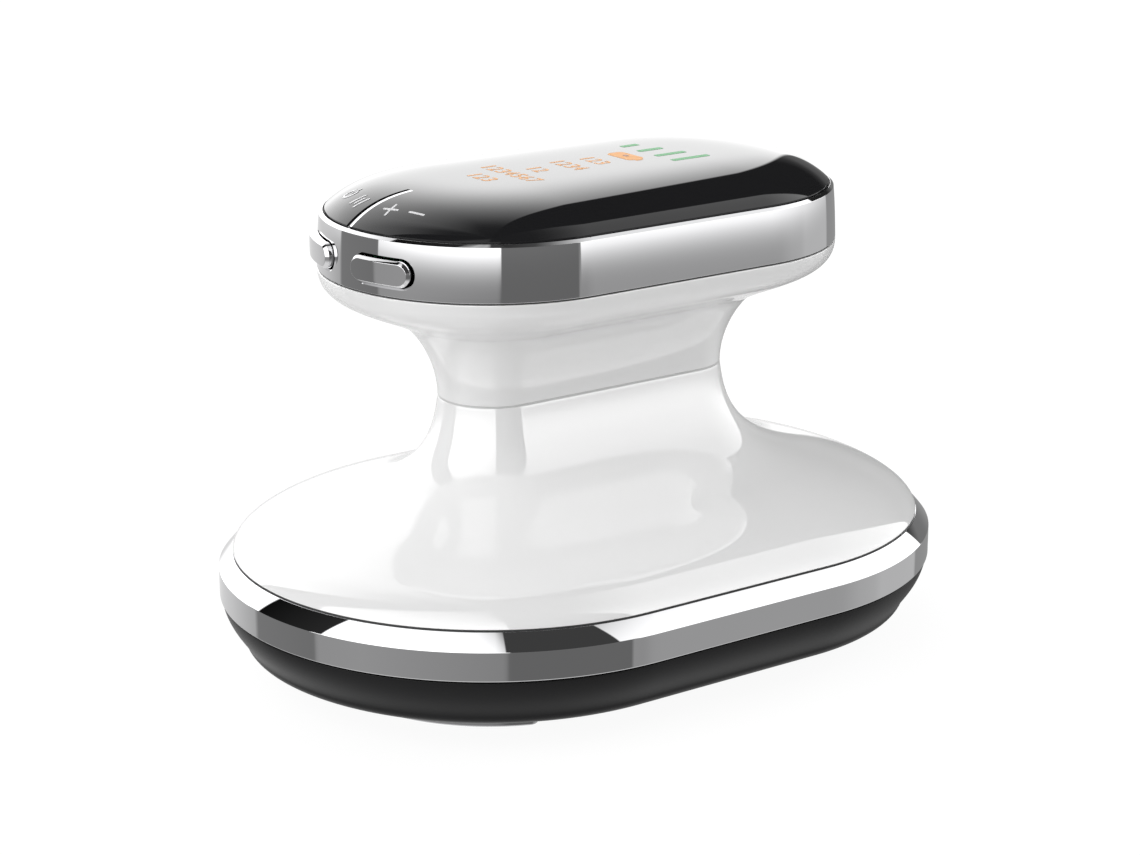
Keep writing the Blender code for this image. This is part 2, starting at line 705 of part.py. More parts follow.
def make_top_panel():
    reaches = [PANEL_REACH * math.sin(math.pi / 2 * step / CROWN_STEPS) for step in range(CROWN_STEPS + 1)]
    outer = [(reach, crown_height(reach)) for reach in reaches]
    foot = [(PANEL_REACH, PANEL_EDGE_Z), (PANEL_INNER_REACH, PANEL_EDGE_Z)]
    inner_reaches = [reach * PANEL_INNER_REACH / PANEL_REACH for reach in reaches]
    inner = [(reach, ceiling_height(reach)) for reach in inner_reaches]
    panel = swept("top_panel", outer + foot + inner[::-1], BLACK_GLASS, closed=False)
    cut(panel, make_groove())


def make_groove():
    """The cutter of the groove between the legends: a round bar that follows the crown along the spine."""
    curve = bpy.data.curves.new("groove", "CURVE")
    curve.dimensions = "3D"
    curve.bevel_depth = GROOVE_RADIUS
    curve.bevel_resolution = 1
    curve.use_fill_caps = True
    start_reach = PANEL_REACH + OVERRUN
    places = []
    for step in range(CROWN_STEPS + 1):
        reach = GROOVE_END_REACH + (start_reach - GROOVE_END_REACH) * step / CROWN_STEPS
        height = crown_height(min(reach, PANEL_REACH))
        drop = max(reach - PANEL_REACH, 0)
        places.append((-SPINE_HALF - reach, 0, height - drop))
    spline = curve.splines.new("POLY")
    spline.points.add(len(places) - 1)
    for point, place in zip(spline.points, places):
        point.co = (*place, 1)
    guide = bpy.data.objects.new("groove", curve)
    bpy.context.scene.collection.objects.link(guide)
    bpy.context.view_layer.update()
    mesh = bpy.data.meshes.new_from_object(guide.evaluated_get(bpy.context.evaluated_depsgraph_get()))
    bpy.data.objects.remove(guide)
    bm = bmesh.new()
    bm.from_mesh(mesh)
    bpy.data.meshes.remove(mesh)
    bmesh.ops.remove_doubles(bm, verts=bm.verts, dist=WELD)
    return keep("groove", bm)


# Keys, their pivots and switches

def make_key(name, pin_name, side, switch_names):
    """One rocker key on its pin, with a tact switch behind each end. Its side is -1 or +1 of the groove."""
    turn = math.pi + side * KEY_SPREAD
    layers = ((KEY_BACK_REACH, 0), (KEY_FACE_REACH - KEY_BEVEL, 0), (KEY_FACE_REACH, KEY_BEVEL))
    key = wrapped_pill(name, KEY_LENGTH, KEY_HEIGHT, layers, turn, -SPINE_HALF, KEY_Z, CHROME)
    pivot = around_end(-SPINE_HALF, KEY_PIVOT_REACH, turn)
    set_origin(key, (*pivot, KEY_Z))
    hub_half = KEY_HEIGHT / 2 - KEY_HUB_INSET
    hub = upright("hub", KEY_HUB_RADIUS, KEY_Z - hub_half, KEY_Z + hub_half, pivot)
    bore = upright("bore", KEY_PIN_RADIUS + PIN_CLEARANCE, CARRIER_Z - OVERRUN, BOARD_Z + OVERRUN, pivot)
    join(key, hub)
    cut(key, bore)
    upright(pin_name, KEY_PIN_RADIUS, CARRIER_Z, BOARD_Z - GAP, pivot, STEEL)
    for end, switch_name in zip((-1, 1), switch_names):
        make_switch(switch_name, turn + end * SWITCH_SPREAD / KEY_BACK_REACH)


def make_switch(name, turn):
    """A tact switch under the main board whose plunger points out at a key."""
    tip = KEY_BACK_REACH - PLUNGER_GAP
    face = tip - PLUNGER_LENGTH
    high_z = BOARD_Z - GAP
    low_z = high_z - SWITCH_HEIGHT
    switch = block(
        name,
        (face - SWITCH_DEPTH, -SWITCH_WIDTH / 2, low_z),
        (face, SWITCH_WIDTH / 2, high_z),
        GREY_PLASTIC,
        ROUND_EDGE,
    )
    plunger = upright("plunger", PLUNGER_RADIUS, face - ROUND_EDGE, tip, (0, 0), sides=SCREW_SIDES)
    lying = Matrix.Translation((0, 0, KEY_Z)) @ Matrix.Rotation(math.pi / 2, 4, "Y")
    placed = Matrix.Translation((-SPINE_HALF, 0, 0)) @ Matrix.Rotation(turn, 4, "Z")
    plunger.data.transform(placed @ lying)
    switch.data.transform(placed)
    join(switch, plunger)


def make_key_carrier():
    """The plate under the keys, with a hole for each pin."""
    outline = d_outline(CARRIER_REACH, CARRIER_X, ROUND_EDGE)
    outline = [(-x, y) for x, y in outline]
    high_z = CARRIER_Z + CARRIER_THICKNESS
    carrier = plate("key_carrier", outline, CARRIER_Z, high_z, BLACK_PLASTIC)
    for side in (-1, 1):
        pivot = around_end(-SPINE_HALF, KEY_PIVOT_REACH, math.pi + side * KEY_SPREAD)
        radius = KEY_PIN_RADIUS + PIN_CLEARANCE
        cut(carrier, upright("pin_hole", radius, CARRIER_Z - OVERRUN, high_z + OVERRUN, pivot))


# Working parts of the base

def make_window(side, window_name, strip_name):
    """A clear window flush with the tub's floor, and the lamp board on its flange."""
    x = side * WINDOW_X
    half_x = WINDOW_WIDTH / 2
    half_y = WINDOW_LENGTH / 2
    flange_z = TUB_FLOOR_Z + GAP
    flange_top = flange_z + WINDOW_FLANGE_THICKNESS
    window = block(window_name, (x - half_x, -half_y, TUB_Z), (x + half_x, half_y, flange_top), CLEAR_PLASTIC)
    flange = block(
        "flange",
        (x - half_x - WINDOW_FLANGE, -half_y - WINDOW_FLANGE, flange_z),
        (x + half_x + WINDOW_FLANGE, half_y + WINDOW_FLANGE, flange_top),
    )
    join(window, flange)
    board_z = flange_top + GAP + LAMP_HEIGHT
    strip = block(
        strip_name,
        (x - half_x, -half_y, board_z),
        (x + half_x, half_y, board_z + LAMP_BOARD_THICKNESS),
        CIRCUIT_BOARD,
    )
    half = LAMP_SIZE / 2
    for index in range(LAMP_COUNT):
        y = -half_y + WINDOW_LENGTH * (index + 1 / 2) / LAMP_COUNT
        lamp = block(
            "lamp",
            (x - half, y - half, board_z - LAMP_HEIGHT),
            (x + half, y + half, board_z + LAMP_BOARD_THICKNESS / 2),
        )
        join(strip, lamp)


def make_driver_board():
    outline = [(0, DRIVER_Z), (DRIVER_REACH, DRIVER_Z), (DRIVER_REACH, DRIVER_TOP_Z), (0, DRIVER_TOP_Z)]
    board = swept("driver_board", outline, CIRCUIT_BOARD, closed=False)
    low = DRIVER_Z - OVERRUN
    high = DRIVER_TOP_Z + OVERRUN
    for side in (-1, 1):
        for spread in (-POST_SPREAD, POST_SPREAD):
            place = (side * POST_X, spread)
            cut(board, upright("post_hole", SKIRT_POST_RADIUS + GAP, low, high, place))


def make_base_electrics():
    piezo_top = RECESS_Z + PIEZO_THICKNESS
    upright("piezo_disc", PIEZO_RADIUS, RECESS_Z, piezo_top, (0, 0), CERAMIC, 2 * ROUND_SIDES)
    stud_top = TUB_FLOOR_Z + WALL
    for side, name in ((-1, "contact_pin_left"), (1, "contact_pin_right")):
        upright(name, CONTACT_RADIUS, stud_top + GAP, DRIVER_Z - GAP, (side * STUD_X, 0), STEEL)
    length, width, height = TRANSFORMER_SIZE
    x, y = TRANSFORMER_PLACE
    low_z = DRIVER_TOP_Z + GAP
    transformer = block(
        "rf_transformer",
        (x - length / 2, y - width / 2, low_z),
        (x + length / 2, y + width / 2, low_z + height),
        FERRITE,
        ROUND_EDGE,
    )
    overhang = width / 8
    winding = block(
        "winding",
        (x - length / 4, y - width / 2 - overhang, low_z + height / 4),
        (x + length / 4, y + width / 2 + overhang, low_z + height - height / 4),
        edge=ROUND_EDGE,
    )
    join(transformer, winding)
    bpy.ops.mesh.primitive_torus_add(
        location=(*COIL_PLACE, low_z + COIL_WIRE_RADIUS),
        major_radius=COIL_RADIUS,
        minor_radius=COIL_WIRE_RADIUS,
        major_segments=ROUND_SIDES,
        minor_segments=SCREW_SIDES,
    )
    coil = bpy.context.object
    coil.name = "rf_coil"
    coil.data.materials.append(COPPER)
    coil.data.shade_smooth()
    for holder in list(coil.users_collection):
        holder.objects.unlink(coil)
    PARTS.objects.link(coil)


def make_base_screws():
    head_z = RECESS_Z + GAP + SCREW_HEAD_HEIGHT
    places = [(side * POST_X, spread) for side in (-1, 1) for spread in (-POST_SPREAD, POST_SPREAD)]
    for number, place in enumerate(places, 1):
        screw(f"base_screw_{number}", place, head_z - GAP, SCREW_LENGTH, 1)


def make_neck_screws():
    for number, side in enumerate((-1, 1), 1):
        head_z = WAIST_Z + FLOOR + GAP
        screw(f"neck_screw_{number}", (side * NECK_SCREW_SPREAD, 0), head_z, SCREW_LENGTH, -1)


# Working parts of the cup

def make_inner_frame():
    """The frame that rests on the cup's slope, with four posts up to the main board."""
    slope = inset(CUP, WALL)
    low_z = height_at(slope, FRAME_REACH) + GAP
    high_z = low_z + FRAME_THICKNESS
    outline = [(0, low_z), (FRAME_REACH, low_z), (FRAME_REACH, high_z), (0, high_z)]
    frame = swept("inner_frame", outline, GREY_PLASTIC, closed=False)
    post_top = BOARD_Z - GAP
    pilot_low = post_top - BOARD_SCREW_LENGTH
    for side in (-1, 1):
        for spread in (-FRAME_POST_SPREAD, FRAME_POST_SPREAD):
            place = (side * FRAME_POST_X, spread)
            join(frame, upright("frame_post", FRAME_POST_RADIUS, low_z + GAP, post_top, place))
            pilot_high = post_top + OVERRUN
            cut(frame, upright("pilot", SCREW_RADIUS + GAP, pilot_low, pilot_high, place, sides=SCREW_SIDES))
    cut(frame, upright("hole", HARNESS_RADIUS + GAP, low_z - OVERRUN, high_z + OVERRUN, (HARNESS_X, 0)))
    make_battery(high_z + GAP)


def make_battery(low_z):
    """The flat cell that fills the frame between its left posts and the harness."""
    left = -FRAME_POST_X + FRAME_POST_RADIUS + 2 * GAP
    right = HARNESS_X - HARNESS_RADIUS - 2 * GAP
    half = BATTERY_WIDTH / 2
    block("battery", (left, -half, low_z), (right, half, low_z + BATTERY_HEIGHT), FOIL, BATTERY_ROUND)


def make_main_board():
    outline = [(0, BOARD_Z), (MAIN_BOARD_REACH, BOARD_Z), (MAIN_BOARD_REACH, BOARD_TOP_Z), (0, BOARD_TOP_Z)]
    board = swept("main_board", outline, CIRCUIT_BOARD, closed=False)
    number = 0
    for side in (-1, 1):
        for spread in (-FRAME_POST_SPREAD, FRAME_POST_SPREAD):
            number += 1
            place = (side * FRAME_POST_X, spread)
            low = BOARD_Z - OVERRUN
            high = BOARD_TOP_Z + OVERRUN
            hole = upright("hole", SCREW_RADIUS + GAP, low, high, place, sides=SCREW_SIDES)
            cut(board, hole)
            screw(f"board_screw_{number}", place, BOARD_TOP_Z + GAP, BOARD_SCREW_LENGTH, -1)
    x, y = BUZZER_PLACE
    high = BOARD_Z - GAP
    upright("buzzer", BUZZER_RADIUS, high - BUZZER_HEIGHT, high, (x, y), BLACK_PLASTIC)


def make_diffuser():
    """The block that carries the display's light from the board to the panel."""
    half_x = SPINE_HALF + DIFFUSER_INSET
    corner_reach = math.hypot(DIFFUSER_INSET, DIFFUSER_REACH)
    high_z = ceiling_height(corner_reach) - 2 * GAP
    block(
        "display_diffuser",
        (-half_x, -DIFFUSER_REACH, BOARD_TOP_Z + GAP),
        (half_x, DIFFUSER_REACH, high_z),
        CLEAR_PLASTIC,
        DIFFUSER_ROUND,
    )


def make_harness():
    upright("wire_harness", HARNESS_RADIUS, DRIVER_TOP_Z + GAP, BOARD_Z - GAP, (HARNESS_X, 0), CABLE_SKIN)


def lying_pill(name, length, height, near, far, look=None):
    """A pill-shaped bar along X between two places, as wide as the length, on the socket's level."""
    bm = bmesh.new()
    quarter = Matrix.Rotation(math.pi / 2, 4, "Y")
    for x in (near, far):
        for side in (-1, 1):
            centre = Matrix.Translation((x, side * (length / 2 - height / 2), SOCKET_Z))
            bmesh.ops.create_circle(bm, segments=SCREW_SIDES, radius=height / 2, matrix=centre @ quarter)
    bmesh.ops.convex_hull(bm, input=bm.verts)
    loose = [v for v in bm.verts if not v.link_faces]
    bmesh.ops.delete(bm, geom=loose, context="VERTS")
    return keep(name, bm, look)


def make_charging_socket():
    """The metal-shelled inlet at the far end, with its contact tongue inside the hollow."""
    mouth = SPINE_HALF + BAND_REACH - SOCKET_RECESS - BAND_WALL
    back = mouth - SOCKET_DEPTH
    hollow_back = mouth - SOCKET_HOLE_DEPTH
    shell = lying_pill("charging_socket", SOCKET_WIDTH, SOCKET_HEIGHT, back, mouth, STEEL)
    hollow = lying_pill(
        "hollow",
        SOCKET_WIDTH - 2 * SOCKET_WALL,
        SOCKET_HEIGHT - 2 * SOCKET_WALL,
        hollow_back,
        mouth + OVERRUN,
    )
    cut(shell, hollow)
    half_y = TONGUE_WIDTH / 2
    half_z = TONGUE_THICKNESS / 2
    tongue = block(
        "tongue",
        (hollow_back - SOCKET_WALL, -half_y, SOCKET_Z - half_z),
        (hollow_back + TONGUE_LENGTH, half_y, SOCKET_Z + half_z),
    )
    join(shell, tongue)


cut_base_shell(make_base_shell())
make_plates()
make_base_ring()
make_lower_body()
make_upper_body()
make_top_ring()
make_top_panel()
make_key("power_mode_key", "power_mode_pin", -1, ("power_switch", "mode_switch"))
make_key("level_key", "level_pin", 1, ("plus_switch", "minus_switch"))
make_key_carrier()
make_window(-1, "light_window_left", "light_strip_left")
make_window(1, "light_window_right", "light_strip_right")
make_driver_board()
make_base_electrics()
make_base_screws()
make_neck_screws()
make_inner_frame()
make_main_board()
make_diffuser()
make_harness()
make_charging_socket()
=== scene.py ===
"""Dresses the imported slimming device: fine casings, chrome trims, keys, legends, finishes and the studio."""

import json
import math

import bmesh
import bpy
from bpy.props import FloatProperty, FloatVectorProperty, PointerProperty
from mathutils import Matrix, Vector


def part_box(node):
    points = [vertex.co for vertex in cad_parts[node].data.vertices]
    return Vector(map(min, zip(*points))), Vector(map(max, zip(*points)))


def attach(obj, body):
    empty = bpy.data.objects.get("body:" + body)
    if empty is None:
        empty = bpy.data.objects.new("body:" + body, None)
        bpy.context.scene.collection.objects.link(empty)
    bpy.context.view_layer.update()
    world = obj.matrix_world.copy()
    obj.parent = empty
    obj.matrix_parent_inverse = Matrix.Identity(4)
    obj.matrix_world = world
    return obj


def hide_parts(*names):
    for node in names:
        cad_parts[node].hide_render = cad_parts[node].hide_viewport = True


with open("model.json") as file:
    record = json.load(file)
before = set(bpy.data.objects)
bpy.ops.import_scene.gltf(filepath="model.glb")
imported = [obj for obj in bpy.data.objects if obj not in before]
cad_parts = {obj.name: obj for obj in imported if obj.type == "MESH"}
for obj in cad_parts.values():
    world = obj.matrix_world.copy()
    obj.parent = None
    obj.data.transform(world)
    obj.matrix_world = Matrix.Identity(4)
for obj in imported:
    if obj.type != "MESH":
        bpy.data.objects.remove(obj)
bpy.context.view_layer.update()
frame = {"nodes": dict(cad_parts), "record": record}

bl_info = {
    "name": "Slimming device looks",
    "version": (1, 0, 0),
    "blender": (4, 5, 0),
    "location": "3D View > Sidebar > Device",
    "description": "Builds the visible pieces of a hand-held slimming device on its packed frame",
    "category": "Object",
}

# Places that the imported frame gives
HOUSING = "housing"
TUB_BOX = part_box("base_shell")
RING_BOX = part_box("base_trim_ring")
SKIRT_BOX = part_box("lower_body")
CUP_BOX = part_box("upper_body")
BAND_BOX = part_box("top_trim_ring")
PANEL_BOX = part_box("top_panel")
SOCKET_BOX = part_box("charging_socket")
CENTRE_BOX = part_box("centre_plate")
SPINE = RING_BOX[1].x - RING_BOX[1].y

# Sizes that the part's source has too, in metres
GAP = 0.0003
WALL = 0.002
FLOOR = 0.002
TUB_FOOT_SHARE = 0.6556
TUB_SHARES = (
    (0, 0), (0.4355, 0.279), (0.7303, 0.214), (0.774, 0.421), (0.7987, 0.536), (0.9732, 0.713), (1, 1),
)
TUB_FLOOR = 0.0025
PLATE_THICKNESS = 0.0025
PLATE_CORNER = 0.0015
ELECTRODE_X = 0.027006
WINDOW_X = 0.022753
WINDOW_WIDTH = 0.0045
WINDOW_LENGTH = 0.036
WINDOW_FLANGE = 0.001
WINDOW_FLANGE_THICKNESS = 0.0008
RING_FACE = 0.0048
RING_CHAMFER_RUN = 0.0022
RING_WIDTH = 0.0044
RING_TONGUE = 0.0017
SKIRT_SHARES = (
    (1, 0), (0.971, 0.125), (0.702, 0.257), (0.48, 0.339), (0.099, 0.481), (0.028, 0.681), (0, 1),
)
WAIST_REACH = 0.009
RIM_TONGUE = 0.0042
TONGUE_WALL = 0.0018
CUP_TONGUE = 0.0006
BAND_HEIGHT = 0.0086
BAND_DRAFT = 0.0005
BAND_WALL = 0.0006
BAND_LAND_RISE = 0.0005
LEDGE_DROP = 0.0009
LEDGE_THICKNESS = 0.0006
LEDGE_WIDTH = 0.0012
CROWN_REACH = 0.0274
CROWN_POWER = 5
PANEL_WALL = 0.0014
PANEL_SKIRT = 0.0003
GROOVE_RADIUS = 0.00075
SOCKET_WALL = 0.00035
SOCKET_HOLE_DEPTH = 0.0056
TONGUE_WIDTH = 0.0062
TONGUE_THICKNESS = 0.0007
TONGUE_LENGTH = 0.0046

# Sizes fitted to the photo more closely than in the part's source, in metres
CUP_SHARES = (
    (0, 0), (0, 0.273), (0.199, 0.526), (0.329, 0.583), (0.722, 0.757), (1, 0.774), (1, 1),
)
CROWN_RISE = 0.00528
GROOVE_END_REACH = 0.0152
KEY_LENGTH = 0.0114
KEY_HEIGHT = 0.0042
KEY_DROP = 0.00475
KEY_PROUD = 0.00135
KEY_DEPTH = 0.00385
KEY_SLOT_GAP = 0.00025
KEY_END_GAP = 0.0003
KEY_SPREAD = math.radians(18.25)

# Sizes that only the finer pieces have, in metres
RING_CHAMFER_ROUND = math.radians(2.9)
# The share of the band's draft that its bend towards the top takes up
BAND_BEND = 0.425
PANEL_EDGE_ROUND = 0.0003
# How far the inlay's side is from the groove's middle, and its foot from the groove's floor
INLAY_SIDE = 0.00008
INLAY_CLEARANCE = 0.00005
KEY_ROUND = 0.00008
SOCKET_BACK_INSET = 0.0004
CONTACT_COUNT = 12
CONTACT_SHARE = 0.8
CONTACT_PROUD = 0.00002
# Keeps the seams' painted shade fillings and the inlay off the faces beside them, and sinks the legends into
# the panel
SLACK = 0.00002

# Heights and reaches that follow
TUB_Z = TUB_BOX[0].z
TUB_TOP_Z = TUB_BOX[1].z
TUB_REACH = TUB_BOX[1].y
TUB_FOOT_REACH = TUB_REACH * TUB_FOOT_SHARE
TUB_FLOOR_Z = TUB_Z + TUB_FLOOR
PLATE_REACH = CENTRE_BOX[1].y
PLATE_TOP_Z = PLATE_THICKNESS
RECESS_Z = PLATE_TOP_Z + GAP
RING_Z = TUB_TOP_Z + GAP
RING_REACH = RING_BOX[1].y
RING_TOP_Z = RING_BOX[1].z
RING_INNER_REACH = RING_REACH - RING_WIDTH
RIM_Z = RING_TOP_Z + GAP
RIM_REACH = SKIRT_BOX[1].y
SEAM_Z = SKIRT_BOX[1].z
RIM_TONGUE_REACH = RING_INNER_REACH - GAP
WAIST_Z = CUP_BOX[0].z
CUP_REACH = CUP_BOX[1].y
BAND_Z = BAND_BOX[0].z
CUP_TOP_Z = BAND_Z - GAP
BAND_TOP_Z = BAND_Z + BAND_HEIGHT
BAND_TOP_REACH = CUP_REACH - BAND_DRAFT
BAND_INNER_REACH = BAND_TOP_REACH - BAND_WALL
CUP_TONGUE_REACH = BAND_INNER_REACH - GAP
LEDGE_Z = BAND_TOP_Z - LEDGE_DROP
PANEL_REACH = BAND_INNER_REACH - GAP
PANEL_INNER_REACH = PANEL_REACH - PANEL_WALL
PANEL_EDGE_Z = PANEL_BOX[0].z
BAND_REACH = (CUP_REACH + BAND_TOP_REACH) / 2
KEY_Z = BAND_TOP_Z - KEY_DROP
KEY_FACE_REACH = BAND_REACH + KEY_PROUD
KEY_BACK_REACH = KEY_FACE_REACH - KEY_DEPTH
SOCKET_Z = (SOCKET_BOX[0].z + SOCKET_BOX[1].z) / 2
SOCKET_WIDTH = SOCKET_BOX[1].y - SOCKET_BOX[0].y
SOCKET_HEIGHT = SOCKET_BOX[1].z - SOCKET_BOX[0].z

# Fineness
END_STEPS = 96
CURVE_STEPS = 44
# Points of an inset outline nearer to the outer one than this share of the wall are left out
NEAR_SHARE = 0.98
CROWN_STEPS = 72
BAND_STEPS = 10
CHAMFER_STEPS = 8
PILL_STEPS = 20
FILLET_STEPS = 4
# The largest share of a side that a rounded corner takes up
FILLET_SHARE = 0.48
CORNER_STEPS = 10
SMALL_STEPS = 4
GROOVE_STEPS = 40
# Inside, the panel uses one in this many of the crown's steps
INNER_SKIP = 6
# A short straight stretch beside each round end, which keeps the long sides' shading flat
GUARD = 0.0004
# Points nearer to each other than this are one
WELD = 0.0000005
# How far a cutter reaches past what it cuts
OVERRUN = 0.001
FLAT_WEIGHT = 80
SHARP_ANGLE = math.radians(24)


class BodySettings(bpy.types.PropertyGroup):
    """Sizes of the visible pieces that can change without leaving the frame."""

    seam_round: FloatProperty(
        name="Seam rounding", description="Radius of the edges that meet at a seam",
        default=0.00012, min=0.00002, max=0.0003, unit="LENGTH", precision=5,
    )
    chrome_round: FloatProperty(
        name="Chrome edge rounding", description="Radius of the chrome trims' edges",
        default=0.0001, min=0.00002, max=0.0004, unit="LENGTH", precision=5,
    )
    plate_round: FloatProperty(
        name="Plate edge rounding", description="Radius of the lower edges of the metal plates",
        default=0.0003, min=0.0001, max=0.001, unit="LENGTH", precision=5,
    )
    # The seams hold dark and pale fillings of painted shade; this is how far they lie back
    painted_shade_depth: FloatProperty(
        name="Seal depth", description="How far the dark seals lie back in their seams",
        default=0.0003, min=0.0001, max=0.001, unit="LENGTH", precision=5,
    )


class KeySettings(bpy.types.PropertyGroup):
    """Sizes of the two rocker keys' faces."""

    bevel: FloatProperty(
        name="Key chamfer", description="Width of the chamfer round each key's face",
        default=0.00042, min=0.0002, max=0.0009, unit="LENGTH", precision=5,
    )
    bevel_depth: FloatProperty(
        name="Key chamfer depth", description="How far the chamfer reaches back from each key's face",
        default=0.00052, min=0.0002, max=0.0009, unit="LENGTH", precision=5,
    )
    slot_bevel: FloatProperty(
        name="Slot chamfer", description="Width of the chamfer round each key's slot",
        default=0.00005, min=0.00002, max=0.0004, unit="LENGTH", precision=5,
    )


class LegendSettings(bpy.types.PropertyGroup):
    """Sizes of the lit legends and the marks of the keys."""

    digit_height: FloatProperty(
        name="Digit height", description="Height of the lit numbers",
        default=0.0028, min=0.001, max=0.004, unit="LENGTH", precision=5,
    )
    digit_advance: FloatProperty(
        name="Digit spacing", description="Distance from one number to the next",
        default=0.00215, min=0.001, max=0.004, unit="LENGTH", precision=5,
    )
    stroke: FloatProperty(
        name="Mark stroke", description="Stroke width of the keys' marks",
        default=0.0004, min=0.0002, max=0.001, unit="LENGTH", precision=5,
    )
    # Width of the dark outline of painted shade round the power and mode key's marks, standing in for the
    # shaded side of relief
    painted_shade_outline_width: FloatProperty(
        name="Relief edge", description="Width of the dark edge round the relief marks",
        default=0.00014, min=0.00005, max=0.0004, unit="LENGTH", precision=5,
    )
    proud: FloatProperty(
        name="Legend height", description="How far a legend stands above the panel",
        default=0.00003, min=0.00001, max=0.0002, unit="LENGTH", precision=6,
    )


class FinishSettings(bpy.types.PropertyGroup):
    """Colours of the finishes."""

    white: FloatVectorProperty(
        name="White casing", description="Colour of the gloss white plastic",
        default=(0.87, 0.87, 0.87), subtype="COLOR", min=0, max=1,
    )
    chrome: FloatVectorProperty(
        name="Chrome", description="Colour of the chrome plating",
        default=(0.78, 0.78, 0.79), subtype="COLOR", min=0, max=1,
    )
    black: FloatVectorProperty(
        name="Black tub", description="Colour of the satin black plastic",
        default=(0.014, 0.014, 0.0145), subtype="COLOR", min=0, max=1,
    )
    panel: FloatVectorProperty(
        name="Panel", description="Colour of the gloss display panel",
        default=(0.012, 0.012, 0.013), subtype="COLOR", min=0, max=1,
    )
    legend: FloatVectorProperty(
        name="Numbers", description="Colour of the lit numbers",
        default=(0.64, 0.32, 0.12), subtype="COLOR", min=0, max=1,
    )
    bars: FloatVectorProperty(
        name="Level bars", description="Colour of the lit level bars",
        default=(0.14, 0.36, 0.18), subtype="COLOR", min=0, max=1,
    )


class StageSettings(bpy.types.PropertyGroup):
    """The studio that the device stands in."""

    level: FloatProperty(
        name="Light level", description="Strength of the studio's light",
        default=1.0, min=0.1, max=3.0,
    )
    floor: FloatVectorProperty(
        name="Floor", description="Colour of the pale floor",
        default=(0.12, 0.12, 0.12), subtype="COLOR", min=0, max=1,
    )
    lens: FloatProperty(
        name="Lens", description="Focal length of the camera",
        default=91.49, min=20, max=200, unit="CAMERA",
    )


# Outlines

def cubic(start, first, second, end, steps):
    """Points of a cubic curve, without its start."""
    points = []
    for step in range(1, steps + 1):
        t = step / steps
        s = 1 - t
        points.append(tuple(
            s ** 3 * a + 3 * s * s * t * b + 3 * s * t * t * c + t ** 3 * d
            for a, b, c, d in zip(start, first, second, end)
        ))
    return points


def curved_outline(shares, foot, top, base_z, rise):
    """Joined cubic curves whose control points are shares of the run from foot to top and of the rise."""
    points = [(foot + (top - foot) * run, base_z + rise * up) for run, up in shares]
    outline = [points[0]]
    for start in range(0, len(points) - 1, 3):
        outline += cubic(*points[start:start + 4], CURVE_STEPS)
    return outline


def inset(outline, wall):
    """The outline moved by the wall, to the left of its direction."""
    moved = []
    for index, point in enumerate(outline):
        before = Vector(outline[max(index - 1, 0)])
        after = Vector(outline[min(index + 1, len(outline) - 1)])
        along = (after - before).normalized()
        moved.append((point[0] - along.y * wall, point[1] + along.x * wall))
    return [place for place in moved if min(math.dist(place, other) for other in outline) > wall * NEAR_SHARE]


def bulged(start, end, half_turn, steps):
    """Points of a flat arc from start to end that bulges to the right, by the turn at each of its ends."""
    start = Vector(start)
    end = Vector(end)
    along = end - start
    out = Vector((along.y, -along.x)).normalized()
    radius = along.length / 2 / math.sin(half_turn)
    points = []
    for step in range(1, steps):
        turn = half_turn * (2 * step / steps - 1)
        rise = radius * (math.cos(turn) - math.cos(half_turn))
        points.append(tuple((start + end) / 2 + along.normalized() * radius * math.sin(turn) + out * rise))
    return points


def reach_at(outline, height):
    """Reach of an outline where it passes a height."""
    for (reach_a, z_a), (reach_b, z_b) in zip(outline, outline[1:]):
        if min(z_a, z_b) <= height <= max(z_a, z_b) and z_a != z_b:
            return reach_a + (reach_b - reach_a) * (height - z_a) / (z_b - z_a)
    raise ValueError("the outline doesn't pass this height")


def filleted(corners, closed=True):
    """Points of an outline whose corners may have a third value, the radius that rounds them."""
    points = []
    count = len(corners)
    for index, corner in enumerate(corners):
        place = Vector(corner[:2])
        radius = corner[2] if len(corner) > 2 else 0
        if not radius or (not closed and index in (0, count - 1)):
            points.append(tuple(place))
            continue
        before = Vector(corners[index - 1][:2]) - place
        after = Vector(corners[(index + 1) % count][:2]) - place
        turn = math.pi - before.angle(after)
        longest = min(before.length, after.length) * FILLET_SHARE
        run = min(radius * math.tan(turn / 2), longest)
        start = place + before.normalized() * run
        end = place + after.normalized() * run
        radius = run / math.tan(turn / 2)
        middle = (before.normalized() + after.normalized()).normalized()
        centre = place + middle * (radius / math.cos(turn / 2))
        sweep = (start - centre).angle_signed(end - centre)
        for step in range(FILLET_STEPS + 1):
            turned = Matrix.Rotation(-sweep * step / FILLET_STEPS, 2) @ (start - centre)
            points.append(tuple(centre + turned))
    return points


def arc(centre, radius, start, end, steps):
    """Points on an arc in the XY plane, both ends included."""
    points = []
    for step in range(steps + 1):
        turn = start + (end - start) * step / steps
        points.append((centre[0] + radius * math.cos(turn), centre[1] + radius * math.sin(turn)))
    return points


def d_outline(reach, flat_x, corner):
    """One end of the stadium with this reach, cut straight at flat_x and rounded at the two corners."""
    corner_x = flat_x + corner
    corner_y = math.sqrt((reach - corner) ** 2 - (corner_x - SPINE) ** 2)
    lean = math.atan2(corner_y, corner_x - SPINE)
    lower = arc((corner_x, -corner_y), corner, -math.pi, -lean, CORNER_STEPS)
    upper = arc((corner_x, corner_y), corner, lean, math.pi, CORNER_STEPS)
    outer = arc((SPINE, 0), reach, -lean, lean, END_STEPS // 2)
    return lower + outer[1:-1] + upper


def rounded_rectangle(half_x, half_y, corner, steps=CORNER_STEPS):
    """A rectangle about the origin with rounded corners."""
    points = []
    for quarter, (side_x, side_y) in enumerate(((1, 1), (-1, 1), (-1, -1), (1, -1))):
        centre = (side_x * (half_x - corner), side_y * (half_y - corner))
        start = quarter * math.pi / 2
        points += arc(centre, corner, start, start + math.pi / 2, steps)
    return points


def shifted(outline, x, y=0):
    """The outline moved along X and Y."""
    return [(place_x + x, place_y + y) for place_x, place_y in outline]


